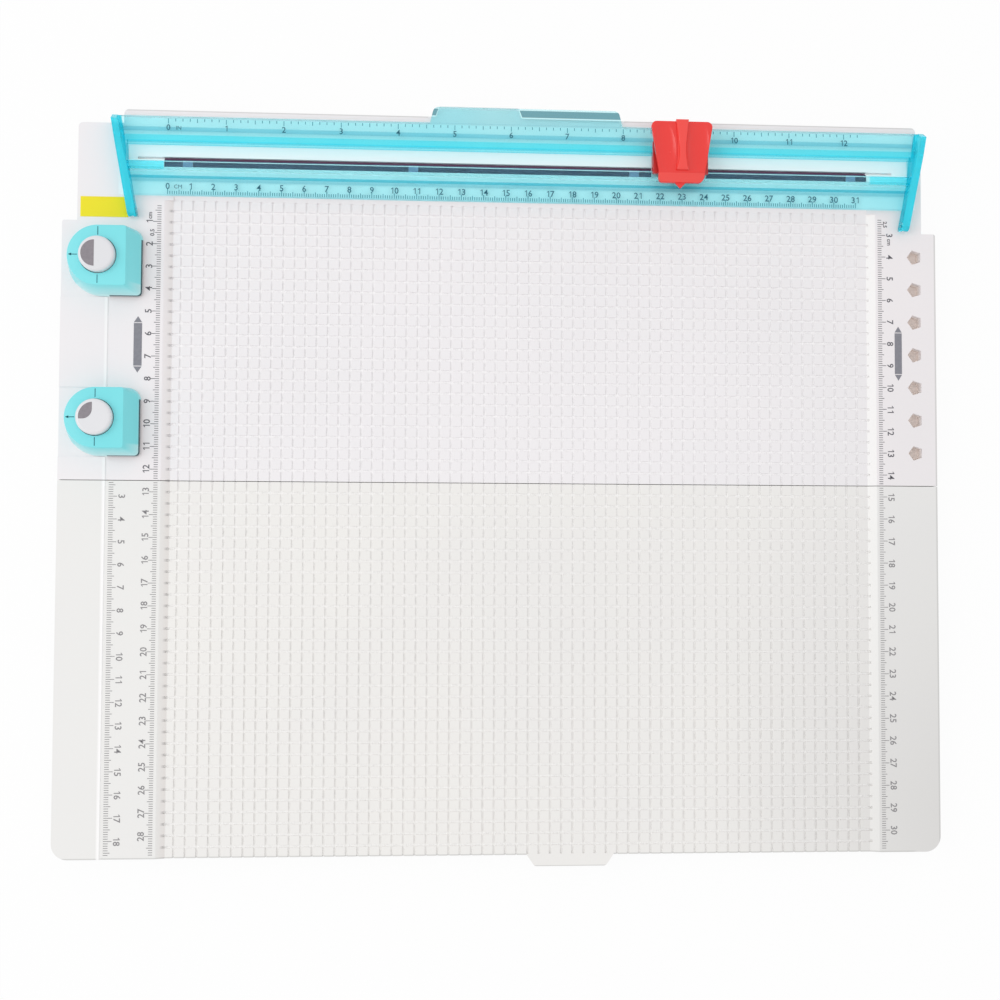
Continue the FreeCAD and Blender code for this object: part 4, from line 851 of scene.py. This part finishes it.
def carved(piece, form):
    """Takes a form drawn in millimetres out of a piece."""
    form.transform(Matrix.Scale(MM, 4))
    mesh = bpy.data.meshes.new("cutter")
    form.to_mesh(mesh)
    form.free()
    cutter = bpy.data.objects.new("cutter", mesh)
    scene.collection.objects.link(cutter)
    cut = piece.modifiers.new("carved", "BOOLEAN")
    cut.operation = "DIFFERENCE"
    cut.solver = "MANIFOLD"
    cut.object = cutter
    bpy.context.view_layer.update()
    shown = piece.evaluated_get(bpy.context.evaluated_depsgraph_get())
    carved_mesh = bpy.data.meshes.new_from_object(shown)
    piece.modifiers.clear()
    piece.data = carved_mesh
    bpy.data.objects.remove(cutter)


softened("slider_cap_shell", "slider_cap", "press_cap", "slider_red", 0.45, rim_of_cap,
         scoops=cap_scoops())


# Springs


def pressed_spring(node, body):
    """A copy of a spring node in spring steel, riding on a body in the node's place."""
    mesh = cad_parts[node].data.copy()
    mesh.materials.clear()
    mesh.materials.append(finishes["spring_steel"].material)
    spring = bpy.data.objects.new(f"{node}_coils", mesh)
    scene.collection.objects.link(spring)
    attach(spring, body)
    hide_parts(node)
    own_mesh(spring)


for side in PUNCH_PLACES:
    pressed_spring(f"{side}_punch_spring", "base")
pressed_spring("slider_springs", "slider")


# Finishes of the carried-over nodes


NODE_FINISHES = {
    "rear_bottom_cover": "rear_white",
    "front_bottom_cover": "front_white",
    "rear_cover_screws": "screw_steel",
    "front_cover_screws": "screw_steel",
    "rear_feet": "foot_rubber",
    "front_feet": "foot_rubber",
    "cutting_strip": "strip_black",
    "rail_pivot_pins": "pin_steel",
    "hinge_pins": "pin_steel",
    "side_label": "label_yellow",
    "cutting_rail": "rail_turquoise",
    "slider_carriage": "slider_dark_red",
    "slider_shoe": "shoe_white",
    "slider_screws": "screw_steel",
    "blade_holder": "slider_dark_red",
    "blade": "blade_steel",
    "blade_pin": "pin_steel",
    "punch_screws": "screw_steel",
}
for side in PUNCH_PLACES:
    NODE_FINISHES[f"{side}_punch_die"] = "blade_steel"
    NODE_FINISHES[f"{side}_punch_button"] = "button_white"
    NODE_FINISHES[f"{side}_punch_cutter"] = "blade_steel"
for node, finish in NODE_FINISHES.items():
    show(node, finish)


# Floor, light and background


def background_white(tree):
    """How much of a camera, mirror or see-through ray gets plain white."""
    path = tree.nodes.new("ShaderNodeLightPath")
    first = tree.nodes.new("ShaderNodeMath")
    first.operation = "MAXIMUM"
    tree.links.new(path.outputs["Is Camera Ray"], first.inputs[0])
    tree.links.new(path.outputs["Is Glossy Ray"], first.inputs[1])
    second = tree.nodes.new("ShaderNodeMath")
    second.operation = "MAXIMUM"
    tree.links.new(first.outputs[0], second.inputs[0])
    tree.links.new(path.outputs["Is Transmission Ray"], second.inputs[1])
    return second.outputs[0]


def white_world(level):
    """A plain white surround that lights softly and is pure white where the camera sees it."""
    world = bpy.data.worlds.new("studio")
    world.use_nodes = True
    scene.world = world
    tree = world.node_tree
    tree.nodes.clear()
    seen = background_white(tree)
    soft = tree.nodes.new("ShaderNodeBackground")
    soft.inputs["Strength"].default_value = level
    plain = tree.nodes.new("ShaderNodeBackground")
    plain.inputs["Strength"].default_value = 1.0
    for shade in (soft, plain):
        shade.inputs["Color"].default_value = (1.0, 1.0, 1.0, 1.0)
    mix = tree.nodes.new("ShaderNodeMixShader")
    tree.links.new(seen, mix.inputs[0])
    tree.links.new(soft.outputs[0], mix.inputs[1])
    tree.links.new(plain.outputs[0], mix.inputs[2])
    output = tree.nodes.new("ShaderNodeOutputWorld")
    tree.links.new(mix.outputs[0], output.inputs["Surface"])


FLOOR_GLOW = 0.93


def white_floor(half):
    """A plain floor that stays white and keeps a faint shadow."""
    form = bmesh.new()
    bmesh.ops.create_grid(form, x_segments=1, y_segments=1, size=half)
    mesh = bpy.data.meshes.new("floor")
    form.to_mesh(mesh)
    form.free()
    floor = bpy.data.objects.new("floor", mesh)
    scene.collection.objects.link(floor)
    material = bpy.data.materials.new("floor_white")
    material.use_nodes = True
    tree = material.node_tree
    tree.nodes.clear()
    matt = tree.nodes.new("ShaderNodeBsdfDiffuse")
    matt.inputs["Color"].default_value = (0.9, 0.9, 0.9, 1.0)
    glow = tree.nodes.new("ShaderNodeEmission")
    glow.inputs["Strength"].default_value = 1.0
    mix = tree.nodes.new("ShaderNodeMixShader")
    share = tree.nodes.new("ShaderNodeMath")
    share.operation = "MULTIPLY"
    tree.links.new(background_white(tree), share.inputs[0])
    share.inputs[1].default_value = FLOOR_GLOW
    tree.links.new(share.outputs[0], mix.inputs[0])
    tree.links.new(matt.outputs[0], mix.inputs[1])
    tree.links.new(glow.outputs[0], mix.inputs[2])
    output = tree.nodes.new("ShaderNodeOutputMaterial")
    tree.links.new(mix.outputs[0], output.inputs["Surface"])
    mesh.materials.append(material)


def soft_lamp(name, place, aim, watts, size):
    """A square lamp turned towards a point."""
    data = bpy.data.lights.new(name, "AREA")
    data.energy = watts
    data.size = size
    lamp = bpy.data.objects.new(name, data)
    lamp.location = place
    lamp.rotation_euler = (Vector(aim) - Vector(place)).to_track_quat("-Z", "Y").to_euler()
    scene.collection.objects.link(lamp)


white_world(0.84)
white_floor(3.0)
soft_lamp("key_lamp", (-1.3, 0.25, 1.3), (0.0, 0.0, 0.0), 6.0, 1.0)
soft_lamp("fill_lamp", (-0.9, -0.6, 1.5), (0.0, 0.0, 0.0), 1.5, 1.2)
